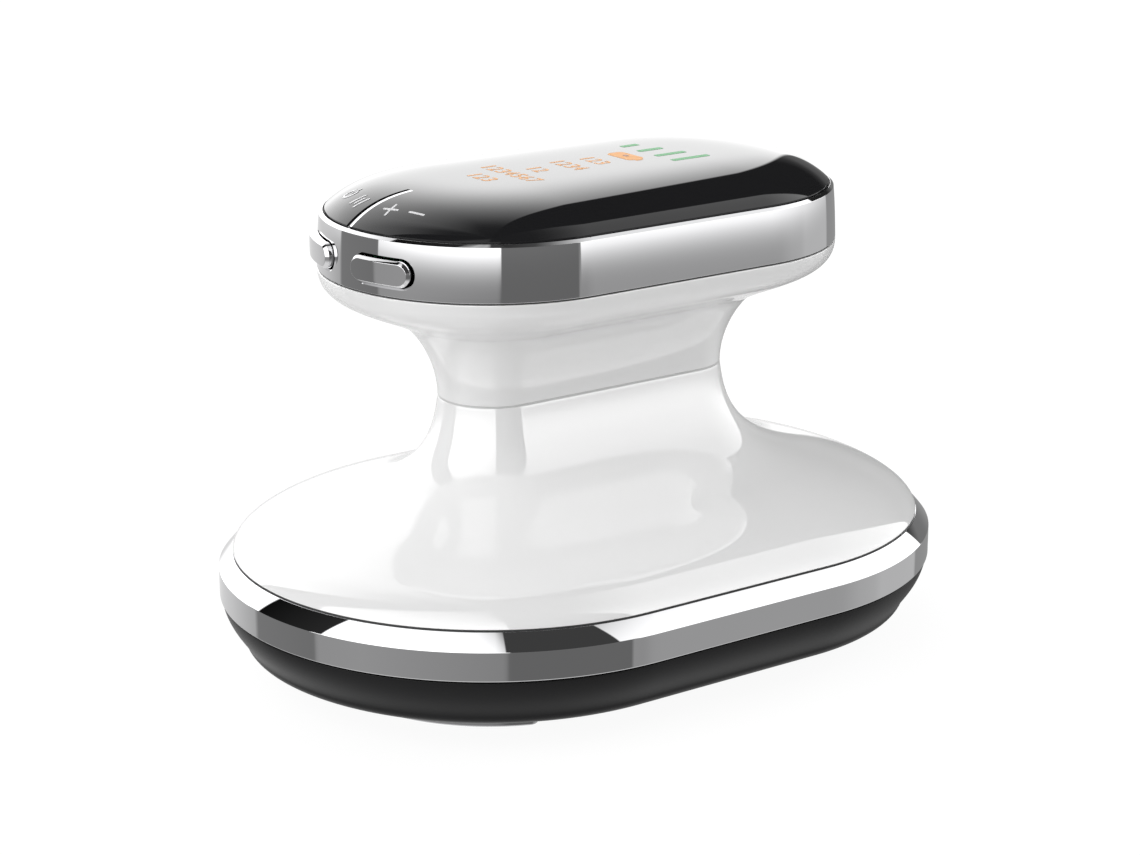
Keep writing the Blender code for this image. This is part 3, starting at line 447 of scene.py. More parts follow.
def mirrored(outline, side):
    """The outline on this side of the middle, anticlockwise on both sides."""
    return outline if side > 0 else [(-x, y) for x, y in outline[::-1]]


def crown_height(reach):
    """Height of the panel's outer face."""
    return BAND_TOP_Z + CROWN_RISE * (1 - (reach / CROWN_REACH) ** CROWN_POWER)


def crown_at(x, y):
    """Height of the panel's outer face above a place in the XY plane."""
    return crown_height(math.hypot(max(abs(x) - SPINE, 0), y))


# Meshes

def mesh_from(name, bm):
    """Turns a mesh being edited into an object, with its faces turned outwards."""
    bmesh.ops.recalc_face_normals(bm, faces=bm.faces)
    mesh = bpy.data.meshes.new(name)
    bm.to_mesh(mesh)
    bm.free()
    made = bpy.data.objects.new(name, mesh)
    bpy.context.scene.collection.objects.link(made)
    return made


def settle(made, flat=False):
    """Applies the modifiers and sets the shading. With flat, wide faces stay flat beside fillets."""
    made.data.shade_smooth()
    made.data.set_sharp_from_angle(angle=SHARP_ANGLE)
    if flat:
        even = made.modifiers.new("flat", "WEIGHTED_NORMAL")
        even.keep_sharp = True
        even.weight = FLAT_WEIGHT
    apply_all(made)
    return made


def evaluated_mesh(made):
    """A new mesh of the object with everything on it applied."""
    bpy.context.view_layer.update()
    graph = bpy.context.evaluated_depsgraph_get()
    return bpy.data.meshes.new_from_object(made.evaluated_get(graph))


def apply_all(made):
    """Applies the object's modifiers."""
    mesh = evaluated_mesh(made)
    old = made.data
    made.modifiers.clear()
    made.data = mesh
    mesh.name = made.name
    bpy.data.meshes.remove(old)


def cut(made, *cutters):
    """Cuts other objects from this one and deletes them."""
    for cutter in cutters:
        step = made.modifiers.new("cut", "BOOLEAN")
        step.operation = "DIFFERENCE"
        step.solver = "EXACT"
        step.object = cutter
    apply_all(made)
    for cutter in cutters:
        mesh = cutter.data
        bpy.data.objects.remove(cutter)
        bpy.data.meshes.remove(mesh)


def swept(name, outline, closed=True):
    """An outline of reaches and heights swept round the spine. One that isn't closed ends on the spine."""
    stations = []
    for side in (1, -1):
        first = -math.pi / 2 if side > 0 else math.pi / 2
        stations.append((side * (SPINE - GUARD), first))
        stations += [(side * SPINE, first + math.pi * step / END_STEPS) for step in range(END_STEPS + 1)]
        stations.append((side * (SPINE - GUARD), first + math.pi))
    bm = bmesh.new()
    rows = []
    for centre_x, turn in stations:
        across, along = math.cos(turn), math.sin(turn)
        rows.append([bm.verts.new((centre_x + reach * across, reach * along, z)) for reach, z in outline])
    count = len(outline) if closed else len(outline) - 1
    for index, row in enumerate(rows):
        ahead = rows[(index + 1) % len(rows)]
        for place in range(count):
            after = (place + 1) % len(outline)
            bm.faces.new((row[place], ahead[place], ahead[after], row[after]))
    bmesh.ops.remove_doubles(bm, verts=bm.verts, dist=WELD)
    return mesh_from(name, bm)


def wrap(bm, rows):
    """Adds the faces between each closed row of corners and the next."""
    for row, ahead in zip(rows, rows[1:]):
        for place in range(len(row)):
            after = (place + 1) % len(row)
            bm.faces.new((row[place], row[after], ahead[after], ahead[place]))


def lofted(name, rows):
    """A solid between closed rows of points, with a face on the first row and on the last."""
    bm = bmesh.new()
    rows = [[bm.verts.new(point) for point in row] for row in rows]
    wrap(bm, rows)
    bm.faces.new(rows[0][::-1])
    bm.faces.new(rows[-1])
    return mesh_from(name, bm)


def stacked(name, layers):
    """A solid whose closed outlines, at their heights, are joined from the lowest to the highest."""
    return lofted(name, [[(x, y, z) for x, y in outline] for outline, z in layers])


def prism(name, outline, low_z, high_z):
    """A solid with the same outline from one height to another."""
    return stacked(name, [(outline, low_z), (outline, high_z)])


def drawn_in(outline, margin):
    """A closed anticlockwise outline moved inwards by a margin."""
    moved = []
    count = len(outline)
    for index, point in enumerate(outline):
        before = Vector(outline[index - 1])
        after = Vector(outline[(index + 1) % count])
        along = after - before
        if along.length < WELD:
            moved.append(point)
            continue
        along.normalize()
        moved.append((point[0] - along.y * margin, point[1] + along.x * margin))
    return moved


def rounded_plate(name, outline, low_z, high_z, low_round):
    """A plate between two heights with a rounded lower edge."""
    layers = []
    for step in range(FILLET_STEPS + 1):
        turn = math.pi / 2 * step / FILLET_STEPS
        margin = low_round * (1 - math.sin(turn))
        layers.append((drawn_in(outline, margin), low_z + low_round * (1 - math.cos(turn))))
    layers.append((outline, high_z))
    return stacked(name, layers)


def boxes(name, places):
    """Boxes in one piece, each given by its middle and its size."""
    bm = bmesh.new()
    for middle, size in places:
        matrix = Matrix.Translation(middle) @ Matrix.Diagonal((*size, 1))
        bmesh.ops.create_cube(bm, size=1, matrix=matrix)
    return mesh_from(name, bm)


def pill_solid(name, length, height, profile, mapped):
    """A pill-shaped solid. Its profile holds edges and depths from back to face, each drawn in by its edge.

    Mapped turns a place along, a place up and a depth into a point.
    """
    half_run = (length - height) / 2
    turns = [math.pi / 2 * step / PILL_STEPS for step in range(PILL_STEPS + 1)]
    bm = bmesh.new()
    rows = []
    for edge, depth in profile:
        radius = height / 2 - edge
        upper = [(-half_run - radius * math.cos(turn), radius * math.sin(turn)) for turn in turns]
        upper += [(half_run * (2 * step / PILL_STEPS - 1), radius) for step in range(1, PILL_STEPS)]
        upper += [(-along, up) for along, up in upper[PILL_STEPS::-1]]
        outline = upper + [(along, -up) for along, up in upper[-2:0:-1]]
        rows.append([bm.verts.new(mapped(along, up, depth)) for along, up in outline])
    wrap(bm, rows)
    for row in (rows[0], rows[-1]):
        # The outline runs from one tip over the top to the other and back below, so -place is under place
        for place in range(len(row) // 2):
            corners = [row[place], row[place + 1]]
            corners += [vert for vert in (row[-place - 1], row[-place]) if vert not in corners]
            bm.faces.new(corners)
    return mesh_from(name, bm)


def round_band(turn, middle_z, end=-1):
    """Maps a flat solid round one end of the band."""
    def mapped(along, up, depth):
        angle = turn + along / BAND_REACH
        return (end * SPINE + depth * math.cos(angle), depth * math.sin(angle), middle_z + up)
    return mapped


def at_key(side):
    """Maps a flat solid to the place of one of the keys."""
    return round_band(math.pi + side * KEY_SPREAD, KEY_Z)


# Nodes

def feed(tree, socket, value):
    """Sets a socket to a plain value, or links another node's output to it."""
    if isinstance(value, bpy.types.NodeSocket):
        tree.links.new(value, socket)
    else:
        socket.default_value = value


def add_node(tree, kind, **inputs):
    """A new node with its inputs fed. An underscore stands for the space in an input's name."""
    node = tree.nodes.new(kind)
    for label, value in inputs.items():
        feed(tree, node.inputs[label.replace("_", " ")], value)
    return node


def math_node(tree, operation, *terms):
    """The result of an operation on one to three terms."""
    node = tree.nodes.new("ShaderNodeMath")
    node.operation = operation
    for socket, value in zip(node.inputs, terms):
        feed(tree, socket, value)
    return node.outputs[0]


def mixed(tree, factor, first, second):
    """A colour between two others."""
    node = tree.nodes.new("ShaderNodeMix")
    node.data_type = "RGBA"
    for label, value in (("Factor", factor), ("A", first), ("B", second)):
        feed(tree, node.inputs[label], value)
    return node.outputs["Result"]


def either(tree, factor, first, second):
    """One of two shaders, or a mix of them."""
    node = add_node(tree, "ShaderNodeMixShader", Fac=factor)
    for socket, shader in zip(node.inputs[1:], (first, second)):
        feed(tree, socket, shader.outputs[0])
    return node.outputs[0]


# Finishes

def material(name, colour, roughness, metallic=0.0, **more):
    """A material whose shader holds its plain values on its own sockets."""
    made = bpy.data.materials.new(name)
    made.use_nodes = True
    shader = made.node_tree.nodes["Principled BSDF"]
    shader.inputs["Base Color"].default_value = (*colour, 1)
    shader.inputs["Roughness"].default_value = roughness
    shader.inputs["Metallic"].default_value = metallic
    for socket, value in more.items():
        shader.inputs[socket.replace("_", " ")].default_value = value
    return made, made.node_tree, shader


def new_group(name, inputs, outputs):
    """An empty shader node group with named numbers, and the sockets that its nodes take from and feed."""
    group = bpy.data.node_groups.new(name, "ShaderNodeTree")
    for label, value in inputs:
        socket = group.interface.new_socket(name=label, in_out="INPUT", socket_type="NodeSocketFloat")
        socket.default_value = value
    for label in outputs:
        group.interface.new_socket(name=label, in_out="OUTPUT", socket_type="NodeSocketFloat")
    entry = group.nodes.new("NodeGroupInput")
    leave = group.nodes.new("NodeGroupOutput")
    return group, entry.outputs, leave.inputs


def moulding_grain():
    """Fine moulded grain: a height and a mask between 0 and 1."""
    group, entry, leave = new_group(
        "moulding_grain", (("Scale", 3000.0), ("Detail", 3.0)), ("Height", "Mask")
    )
    place = add_node(group, "ShaderNodeTexCoord").outputs["Object"]
    cells = add_node(group, "ShaderNodeTexVoronoi", Vector=place, Scale=entry["Scale"]).outputs["Distance"]
    noise = add_node(
        group, "ShaderNodeTexNoise", Vector=place, Scale=entry["Scale"], Detail=entry["Detail"], Roughness=0.6
    ).outputs["Fac"]
    feed(group, leave["Height"], math_node(group, "MULTIPLY_ADD", cells, 0.4, noise))
    feed(group, leave["Mask"], noise)


def handling_film():
    """The faint, uneven film that hands leave: a value that spreads about a middle one."""
    group, entry, leave = new_group(
        "handling_film", (("Scale", 60.0), ("Middle", 0.05), ("Spread", 0.02)), ("Roughness", "Mask")
    )
    place = add_node(group, "ShaderNodeTexCoord").outputs["Object"]
    noise = add_node(
        group, "ShaderNodeTexNoise", Vector=place, Scale=entry["Scale"], Detail=4, Distortion=0.6
    ).outputs["Fac"]
    feed(group, leave["Roughness"], math_node(group, "MULTIPLY_ADD", noise, entry["Spread"], entry["Middle"]))
    feed(group, leave["Mask"], noise)


def hairline():
    """Fine parallel scratches along X: a height and a mask between 0 and 1."""
    group, entry, leave = new_group("hairline", (("Scale", 900.0), ("Stretch", 0.02)), ("Height", "Mask"))
    place = add_node(group, "ShaderNodeTexCoord").outputs["Object"]
    split = add_node(group, "ShaderNodeSeparateXYZ", Vector=place).outputs
    drawn = math_node(group, "MULTIPLY", split["X"], entry["Stretch"])
    merged = add_node(group, "ShaderNodeCombineXYZ", X=drawn, Y=split["Y"], Z=split["Z"]).outputs[0]
    noise = add_node(
        group, "ShaderNodeTexNoise", Vector=merged, Scale=entry["Scale"], Detail=3
    ).outputs["Fac"]
    feed(group, leave["Height"], noise)
    feed(group, leave["Mask"], noise)


def place_group(tree, name, **values):
    """The outputs of a shared group, placed in a material with its own values."""
    node = tree.nodes.new("ShaderNodeGroup")
    node.node_tree = bpy.data.node_groups[name]
    for label, value in values.items():
        node.inputs[label].default_value = value
    return node.outputs


def tinted(tree, shader, mask, first, second):
    """Two close colours, mixed by a mask, on the shader's base colour."""
    feed(tree, shader.inputs["Base Color"], mixed(tree, mask, (*first, 1), (*second, 1)))


def shades(colour, spread):
    """A slightly darker and a slightly lighter colour."""
    return [min(c * (1 - spread), 1) for c in colour], [min(c * (1 + spread), 1) for c in colour]


def bumped(tree, shader, height, distance):
    """A height on the shader's normal."""
    bump = add_node(tree, "ShaderNodeBump", Strength=1, Distance=distance, Height=height)
    feed(tree, shader.inputs["Normal"], bump.outputs["Normal"])


def grained(name, colour, roughness, scale, depth, spread=0.06, metallic=0.0, **more):
    """A moulded or sintered finish with grain, slightly uneven in colour."""
    made, tree, shader = material(name, colour, roughness, metallic, **more)
    grain = place_group(tree, "moulding_grain", Scale=scale)
    tinted(tree, shader, grain["Mask"], *shades(colour, spread))
    bumped(tree, shader, grain["Height"], depth)
    return made


def glossy(name, colour, roughness, film, spread=0.01, metallic=0.0, **more):
    """A smooth finish under a faint handling film."""
    made, tree, shader = material(name, colour, roughness, metallic, **more)
    marks = place_group(tree, "handling_film", Middle=roughness, Spread=film)
    feed(tree, shader.inputs["Roughness"], marks["Roughness"])
    tinted(tree, shader, marks["Mask"], *shades(colour, spread))
    return made


def brushed(name, colour, roughness, depth, scale=900.0):
    """Metal with fine parallel scratches."""
    made, tree, shader = material(name, colour, roughness, 1.0)
    lines = place_group(tree, "hairline", Scale=scale)
    tinted(tree, shader, lines["Mask"], *shades(colour, 0.05))
    bumped(tree, shader, lines["Height"], depth)
    return made


def make_finishes(colours):
    """The shared groups and every finish, by its short name."""
    moulding_grain()
    handling_film()
    hairline()
    return {
        "white_gloss": glossy(
            "gloss white plastic", tuple(colours.white), 0.006, 0.004, spread=0.006, IOR=2.1
        ),
        "chrome": glossy("chrome plating", tuple(colours.chrome), 0.012, 0.012, metallic=1.0),
        "black_plastic": grained(
            "satin black plastic", tuple(colours.black), 0.34, 5200, 0.000012, Specular_IOR_Level=0.12
        ),
        "steel": brushed("polished steel", (0.62, 0.62, 0.63), 0.16, 0.000002),
        "black_glass": glossy("gloss smoked panel", tuple(colours.panel), 0.015, 0.015, spread=0.1),
        "clear_plastic": grained(
            "frosted window", (0.86, 0.84, 0.82), 0.35, 4000, 0.00001, spread=0.02, Transmission_Weight=0.75
        ),
        "circuit_board": board_finish(),
        "ceramic": grained("piezo ceramic", (0.72, 0.70, 0.64), 0.5, 2600, 0.00001),
        "ferrite": grained("ferrite core", (0.08, 0.075, 0.07), 0.6, 2200, 0.00002, spread=0.15),
        "copper": brushed("enamelled copper", (0.72, 0.33, 0.16), 0.3, 0.00001, scale=1500.0),
        "foil": brushed("battery foil", (0.55, 0.56, 0.58), 0.34, 0.000006, scale=300.0),
        "grey_plastic": grained("moulded grey plastic", (0.30, 0.31, 0.32), 0.5, 3000, 0.00001),
        "cable_skin": grained("cable sheath", (0.05, 0.05, 0.055), 0.5, 2400, 0.00001),
        # Dark plastic for the socket's tongue, and painted shade that fills the seams between the parts
        "plastic_and_painted_shade": grained("dark seal", (0.045, 0.045, 0.045), 0.6, 3000, 0.000008),
        # Pale grey painted shade that fills the seam at the waist
        "pale_painted_shade": grained("pale seal", (0.6, 0.6, 0.6), 0.5, 3000, 0.000008),
        "numbers": lit("lit numbers", tuple(colours.legend), 0.35),
        "bars": lit("lit level bars", tuple(colours.bars), 0.35),
        "spot": grained("dark spot", (0.25, 0.07, 0.03), 0.4, 3000, 0.000002),
        # Light grey print on the level key's marks; on the power and mode key's marks it is a painted
        # highlight standing in for lit relief
        "print_and_painted_highlight": glossy("key marks", (0.68, 0.68, 0.69), 0.3, 0.05, spread=0.03),
        # Dark painted shade outlining the power and mode key's marks, standing in for the shaded sides of
        # relief
        "painted_relief_shade": glossy("gloss relief marks", (0.06, 0.06, 0.065), 0.1, 0.03, spread=0.05),
        "contact": brushed("gilt contacts", (0.83, 0.62, 0.26), 0.25, 0.000002),
    }


def lit(name, colour, glow):
    """A legend that shines a little through the panel."""
    made, tree, shader = material(name, colour, 0.5, Specular_IOR_Level=0.2, Emission_Strength=glow)
    grain = place_group(tree, "moulding_grain", Scale=1800.0)
    tinted(tree, shader, grain["Mask"], *shades(colour, 0.05))
    shader.inputs["Emission Color"].default_value = (*colour, 1)
    return made


def board_finish():
    """Green solder mask with copper tracks showing through it."""
    colour = (0.02, 0.16, 0.07)
    made, tree, shader = material("green circuit board", colour, 0.42)
    place = add_node(tree, "ShaderNodeTexCoord").outputs["Object"]
    tracks = add_node(
        tree, "ShaderNodeTexBrick", Vector=place, Scale=320, Mortar_Size=0.04,
        Color1=(0, 0, 0, 1), Color2=(0.3, 0.3, 0.3, 1), Mortar=(1, 1, 1, 1),
    ).outputs["Color"]
    tinted(tree, shader, tracks, colour, (0.05, 0.30, 0.12))
    bumped(tree, shader, tracks, 0.00002)
    return made


LOOKS = {}


def place_piece(made, look, body=HOUSING, replaced=()):
    """Gives a piece its finish and its body, and hides the CAD nodes that it stands for."""
    made.data.materials.clear()
    made.data.materials.append(LOOKS[look])
    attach(made, body)
    if replaced:
        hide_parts(*replaced)


# Casings

def tub_outline():
    """The tub's outer side, from its foot to its rim."""
    return curved_outline(TUB_SHARES, TUB_FOOT_REACH, TUB_REACH, TUB_Z, TUB_TOP_Z - TUB_Z)


def make_tub(settings):
    """The black tub, with recesses for the plates and openings for the windows."""
    tub = tub_outline()
    inner = [p for p in inset(tub, WALL) if p[1] > TUB_FLOOR_Z and p[0] < TUB_REACH - WALL]
    rim = filleted(
        [tub[-2], (TUB_REACH, TUB_TOP_Z, settings.seam_round), (TUB_REACH - WALL, TUB_TOP_Z)], closed=False
    )
    outline = [(0, TUB_Z)] + tub[:-1] + rim[1:]
    outline += inner[::-1] + [(inner[0][0] - WALL, TUB_FLOOR_Z), (0, TUB_FLOOR_Z)]
    shell = swept("tub", outline, closed=False)
    electrode = d_outline(PLATE_REACH + GAP, ELECTRODE_X - GAP, PLATE_CORNER + GAP)
    window = rounded_rectangle(WINDOW_WIDTH / 2 + GAP, WINDOW_LENGTH / 2 + GAP, 2 * GAP, SMALL_STEPS)
    centre = rounded_rectangle(CENTRE_BOX[1].x + GAP, PLATE_REACH + GAP, PLATE_CORNER + GAP)
    low = TUB_Z - OVERRUN
    cutters = []
    for side in (-1, 1):
        cutters.append(prism("recess", mirrored(electrode, side), low, RECESS_Z))
        cutters.append(prism("opening", shifted(window, side * WINDOW_X), low, TUB_FLOOR_Z + OVERRUN))
    cutters.append(prism("recess", centre, low, RECESS_Z))
    cut(shell, *cutters)
    return settle(shell)


def make_plates(settings):
    """The two electrodes and the ultrasonic plate between them."""
    electrode = d_outline(PLATE_REACH, ELECTRODE_X, PLATE_CORNER)
    plates = (
        ("electrode_left_plate", "electrode_left", mirrored(electrode, -1)),
        ("electrode_right_plate", "electrode_right", electrode),
        ("ultrasonic_plate", "centre_plate", rounded_rectangle(CENTRE_BOX[1].x, PLATE_REACH, PLATE_CORNER)),
    )
    for name, node, outline in plates:
        made = rounded_plate(name, outline, 0, PLATE_TOP_Z, settings.plate_round)
        place_piece(settle(made, flat=True), "steel", replaced=(node,))


def make_windows(settings):
    """The frosted windows between the plates. Each has a flange that lies on the tub's floor."""
    edge = settings.seam_round
    flange_z = TUB_FLOOR_Z + GAP
    for side, node in ((-1, "light_window_left"), (1, "light_window_right")):
        lens, flange = [
            rounded_rectangle(WINDOW_WIDTH / 2 + out, WINDOW_LENGTH / 2 + out, GAP, SMALL_STEPS)
            for out in (0, WINDOW_FLANGE)
        ]
        lens = shifted(lens, side * WINDOW_X)
        flange = shifted(flange, side * WINDOW_X)
        made = stacked(f"{node}_lens", [
            (drawn_in(lens, edge), TUB_Z),
            (lens, TUB_Z + edge),
            (lens, flange_z),
            (flange, flange_z),
            (flange, flange_z + WINDOW_FLANGE_THICKNESS),
        ])
        place_piece(settle(made, flat=True), "clear_plastic", replaced=(node,))


def make_base_ring(settings):
    """The chrome ring on the tub: an upright face, a chamfer and a tongue inside the tub's wall."""
    tongue_z = RING_Z - GAP - RING_TONGUE
    tongue_reach = reach_at(inset(tub_outline(), WALL), tongue_z) - GAP
    edge = settings.chrome_round
    chamfer = ((RING_REACH, RING_Z + RING_FACE), (RING_REACH - RING_CHAMFER_RUN, RING_TOP_Z))
    outline = filleted([
        (RING_REACH, RING_Z, 2 * edge),
        (*chamfer[0], edge),
        *bulged(*chamfer, RING_CHAMFER_ROUND, CHAMFER_STEPS),
        (*chamfer[1], edge),
        (RING_INNER_REACH, RING_TOP_Z, edge),
        (RING_INNER_REACH, tongue_z),
        (tongue_reach, tongue_z),
        (tongue_reach, RING_Z),
    ])
    return settle(swept("base_ring", outline), flat=True)


def make_skirt(settings):
    """The lower body: the skirt and the lower half of the waist."""
    skirt = curved_outline(SKIRT_SHARES, WAIST_REACH, RIM_REACH, RIM_Z, SEAM_Z - RIM_Z)
    floor_z = SEAM_Z - FLOOR
    tongue_inner = RIM_TONGUE_REACH - TONGUE_WALL
    inner = [p for p in inset(skirt, WALL) if p[0] < tongue_inner and p[1] < floor_z]
    tongue_z = RIM_Z - RIM_TONGUE
    edge = settings.seam_round
    top = filleted([(0, SEAM_Z), (WAIST_REACH, SEAM_Z, edge), skirt[-2]], closed=False)
    rim = filleted([skirt[1], (RIM_REACH, RIM_Z, edge), (RIM_TONGUE_REACH, RIM_Z)], closed=False)
    outline = top[:-1] + skirt[1:-1][::-1] + rim[1:]
    outline += [(RIM_TONGUE_REACH, tongue_z), (tongue_inner, tongue_z)]
    outline += [(tongue_inner, inner[0][1])] + inner + [(inner[-1][0], floor_z), (0, floor_z)]
    return settle(swept("skirt_and_waist", outline, closed=False))


def make_cup(settings):
    """The upper body: the upper half of the waist and the cup under the band."""
    cup = curved_outline(CUP_SHARES, WAIST_REACH, CUP_REACH, WAIST_Z, CUP_TOP_Z - WAIST_Z)
    floor_z = WAIST_Z + FLOOR
    tongue_inner = CUP_TONGUE_REACH - TONGUE_WALL
    inner = [p for p in inset(cup, WALL) if p[0] < tongue_inner and p[1] > floor_z]
    tongue_z = CUP_TOP_Z + CUP_TONGUE
    edge = settings.seam_round
    foot = filleted([(0, WAIST_Z), (WAIST_REACH, WAIST_Z, edge), cup[1]], closed=False)
    rim = filleted([cup[-2], (CUP_REACH, CUP_TOP_Z, edge), (CUP_TONGUE_REACH, CUP_TOP_Z)], closed=False)
    outline = foot[:-1] + cup[1:-1] + rim[1:]
    outline += [(CUP_TONGUE_REACH, tongue_z), (tongue_inner, tongue_z)]
    outline += [(tongue_inner, inner[-1][1])] + inner[::-1] + [(inner[0][0], floor_z), (0, floor_z)]
    return settle(swept("cup_and_waist", outline, closed=False))


def make_band(settings, keys):
    """The chrome band, its two key slots and the socket's port, each slot with a small chamfer."""
    edge = settings.chrome_round
    ledge_reach = BAND_INNER_REACH - LEDGE_WIDTH
    face = []
    for step in range(1, BAND_STEPS):
        climb = step / BAND_STEPS
        drawn = BAND_DRAFT * ((1 - BAND_BEND) * climb + BAND_BEND * climb ** 3)
        face.append((CUP_REACH - drawn, BAND_Z + BAND_HEIGHT * climb))
    outline = filleted([
        (CUP_REACH, BAND_Z, edge),
        *face,
        (BAND_TOP_REACH, BAND_TOP_Z, edge / 2),
        (BAND_INNER_REACH, BAND_TOP_Z + BAND_LAND_RISE, edge / 2),
        (BAND_INNER_REACH, LEDGE_Z),
        (ledge_reach, LEDGE_Z),
        (ledge_reach, LEDGE_Z - LEDGE_THICKNESS),
        (BAND_INNER_REACH, LEDGE_Z - LEDGE_THICKNESS),
        (BAND_INNER_REACH, BAND_Z),
    ])
    band = swept("top_band", outline)
    bevel = keys.slot_bevel
    profile = (
        (0, KEY_BACK_REACH - OVERRUN),
        (0, BAND_REACH - bevel),
        (-OVERRUN - bevel, BAND_REACH + OVERRUN),
    )
    length = KEY_LENGTH + 2 * KEY_END_GAP
    height = KEY_HEIGHT + 2 * KEY_SLOT_GAP
    cutters = [pill_solid("slot", length, height, profile, at_key(side)) for side in (-1, 1)]
    length = SOCKET_WIDTH + 2 * KEY_SLOT_GAP
    height = SOCKET_HEIGHT + 2 * KEY_SLOT_GAP
    cutters.append(pill_solid("port", length, height, profile, round_band(0, SOCKET_Z, 1)))
    cut(band, *cutters)
    return settle(band, flat=True)


def make_panel():
    """The domed panel with its groove."""
    reaches = [PANEL_REACH * math.sin(math.pi / 2 * step / CROWN_STEPS) for step in range(CROWN_STEPS)]
    outer = [(reach, crown_height(reach)) for reach in reaches]
    edge = filleted([
        outer[-1],
        (PANEL_REACH, crown_height(PANEL_REACH), PANEL_EDGE_ROUND),
        (PANEL_REACH, PANEL_EDGE_Z),
    ], closed=False)
    inner = []
    skirt_z = PANEL_EDGE_Z + PANEL_SKIRT
    rise = crown_height(0) - PANEL_WALL - skirt_z
    for reach in reaches[::INNER_SKIP] + [PANEL_REACH]:
        share = reach / PANEL_REACH
        inner.append((share * PANEL_INNER_REACH, skirt_z + rise * (1 - share ** CROWN_POWER)))
    outline = outer + edge[1:] + [(PANEL_INNER_REACH, PANEL_EDGE_Z)] + inner[::-1]
    panel = swept("display_panel", outline, closed=False)
    radius = GROOVE_RADIUS
    cut(panel, groove_bar("groove", -radius, radius, radius, -OVERRUN, PANEL_REACH + OVERRUN))
    return settle(panel)


def groove_bar(name, low_y, high_y, depth, top, end_reach):
    """A bar along the left spine end that follows the crown, from a depth below it to a top below it."""
    rows = []
    for step in range(GROOVE_STEPS + 1):
        reach = GROOVE_END_REACH + (end_reach - GROOVE_END_REACH) * step / GROOVE_STEPS
        height = crown_height(min(reach, PANEL_REACH))
        corners = ((low_y, depth), (high_y, depth), (high_y, top), (low_y, top))
        rows.append([(-SPINE - reach, y, height - below) for y, below in corners])
    return lofted(name, rows)


def make_inlay():
    """The thin chrome strip at the near side of the groove."""
    depth = GROOVE_RADIUS - INLAY_CLEARANCE
    strip = groove_bar("groove_inlay", SLACK - GROOVE_RADIUS, -INLAY_SIDE, depth, 0, BAND_INNER_REACH - SLACK)
    return settle(strip, flat=True)


def make_painted_seam_shades(settings):
    """The dark and pale fillings of the seams, painted shade where the gaps between the parts are only shaded.
    Each has its outer and inner reach and its two heights.
    """
    depth = settings.painted_shade_depth
    chamfer_reach = RING_REACH - RING_CHAMFER_RUN
    panel_top_z = BAND_TOP_Z + GAP / 2
    # Painted shade: dark fillings in the rim, band and panel seams, and a pale one at the waist
    painted_seam_shades = (
        ("rim_seal", "plastic_and_painted_shade", chamfer_reach - depth, RIM_TONGUE_REACH + 2 * GAP, RING_TOP_Z, RIM_Z),
        ("waist_seal", "pale_painted_shade", WAIST_REACH - depth / 5, WAIST_REACH - WALL, SEAM_Z, WAIST_Z),
        ("band_seal", "plastic_and_painted_shade", CUP_REACH - depth, BAND_INNER_REACH, CUP_TOP_Z, BAND_Z),
        ("panel_seal", "plastic_and_painted_shade", BAND_INNER_REACH - SLACK, PANEL_REACH + SLACK, PANEL_EDGE_Z, panel_top_z),
    )
    for name, look, outer, inner, low, high in painted_seam_shades:
        outline = [(outer, low + SLACK), (outer, high - SLACK), (inner, high - SLACK), (inner, low + SLACK)]
        place_piece(settle(swept(name, outline)), look)


# Keys and socket

def make_key(name, node, side, body, keys):
    """A rocker key with a chamfer round its face."""
    profile = filleted([
        (0, KEY_BACK_REACH),
        (0, KEY_FACE_REACH - keys.bevel_depth, KEY_ROUND),
        (keys.bevel, KEY_FACE_REACH, KEY_ROUND),
        (keys.bevel + 4 * KEY_ROUND, KEY_FACE_REACH),
    ], closed=False)
    made = pill_solid(name, KEY_LENGTH, KEY_HEIGHT, profile, at_key(side))
    place_piece(settle(made, flat=True), "chrome", body, (node,))


def make_socket():
    """The charging socket: a steel shell, and a dark tongue with a row of contacts in it."""
    low, high = SOCKET_BOX
    back = high.x - SOCKET_HOLE_DEPTH

    def lying(along, up, depth):
        return (depth, along, SOCKET_Z + up)

    profile = filleted([
        (SOCKET_BACK_INSET, low.x),
        (0, low.x, 2 * KEY_ROUND),
        (0, high.x, KEY_ROUND),
        (SOCKET_WALL / 2, high.x),
    ], closed=False)
    shell = pill_solid("socket_shell", SOCKET_WIDTH, SOCKET_HEIGHT, profile, lying)
    width = SOCKET_WIDTH - 2 * SOCKET_WALL
    height = SOCKET_HEIGHT - 2 * SOCKET_WALL
    cut(shell, pill_solid("hollow", width, height, ((0, back), (0, high.x + OVERRUN)), lying))
    place_piece(settle(shell, flat=True), "steel", replaced=("charging_socket",))
    middle = (back + (TONGUE_LENGTH - SOCKET_WALL) / 2, 0, SOCKET_Z)
    tongue = boxes("socket_tongue", [(middle, (TONGUE_LENGTH + SOCKET_WALL, TONGUE_WIDTH, TONGUE_THICKNESS))])
    place_piece(settle(tongue), "plastic_and_painted_shade")
    pitch = TONGUE_WIDTH / (CONTACT_COUNT + 1)
    size = (TONGUE_LENGTH * CONTACT_SHARE, pitch / 2, TONGUE_THICKNESS + 2 * CONTACT_PROUD)
    contacts = boxes("socket_contacts", [
        ((back + TONGUE_LENGTH / 2, pitch * number - TONGUE_WIDTH / 2, SOCKET_Z), size)
        for number in range(1, CONTACT_COUNT + 1)
    ])
    place_piece(settle(contacts), "contact")


# Legends

# The directions to the right and up as the panel is read
READ_RIGHT = (0, -1)
READ_UP = (1, 0)
# The longest stretch of a legend that stays flat
CELL = 0.0005
GLYPH_HALF_THICKNESS = 0.0001
GLYPH_STEPS = 6
GLYPH_WELD = 0.000002
DIGIT_SHARE = 0.78
DIGIT_STRETCH = 1.2
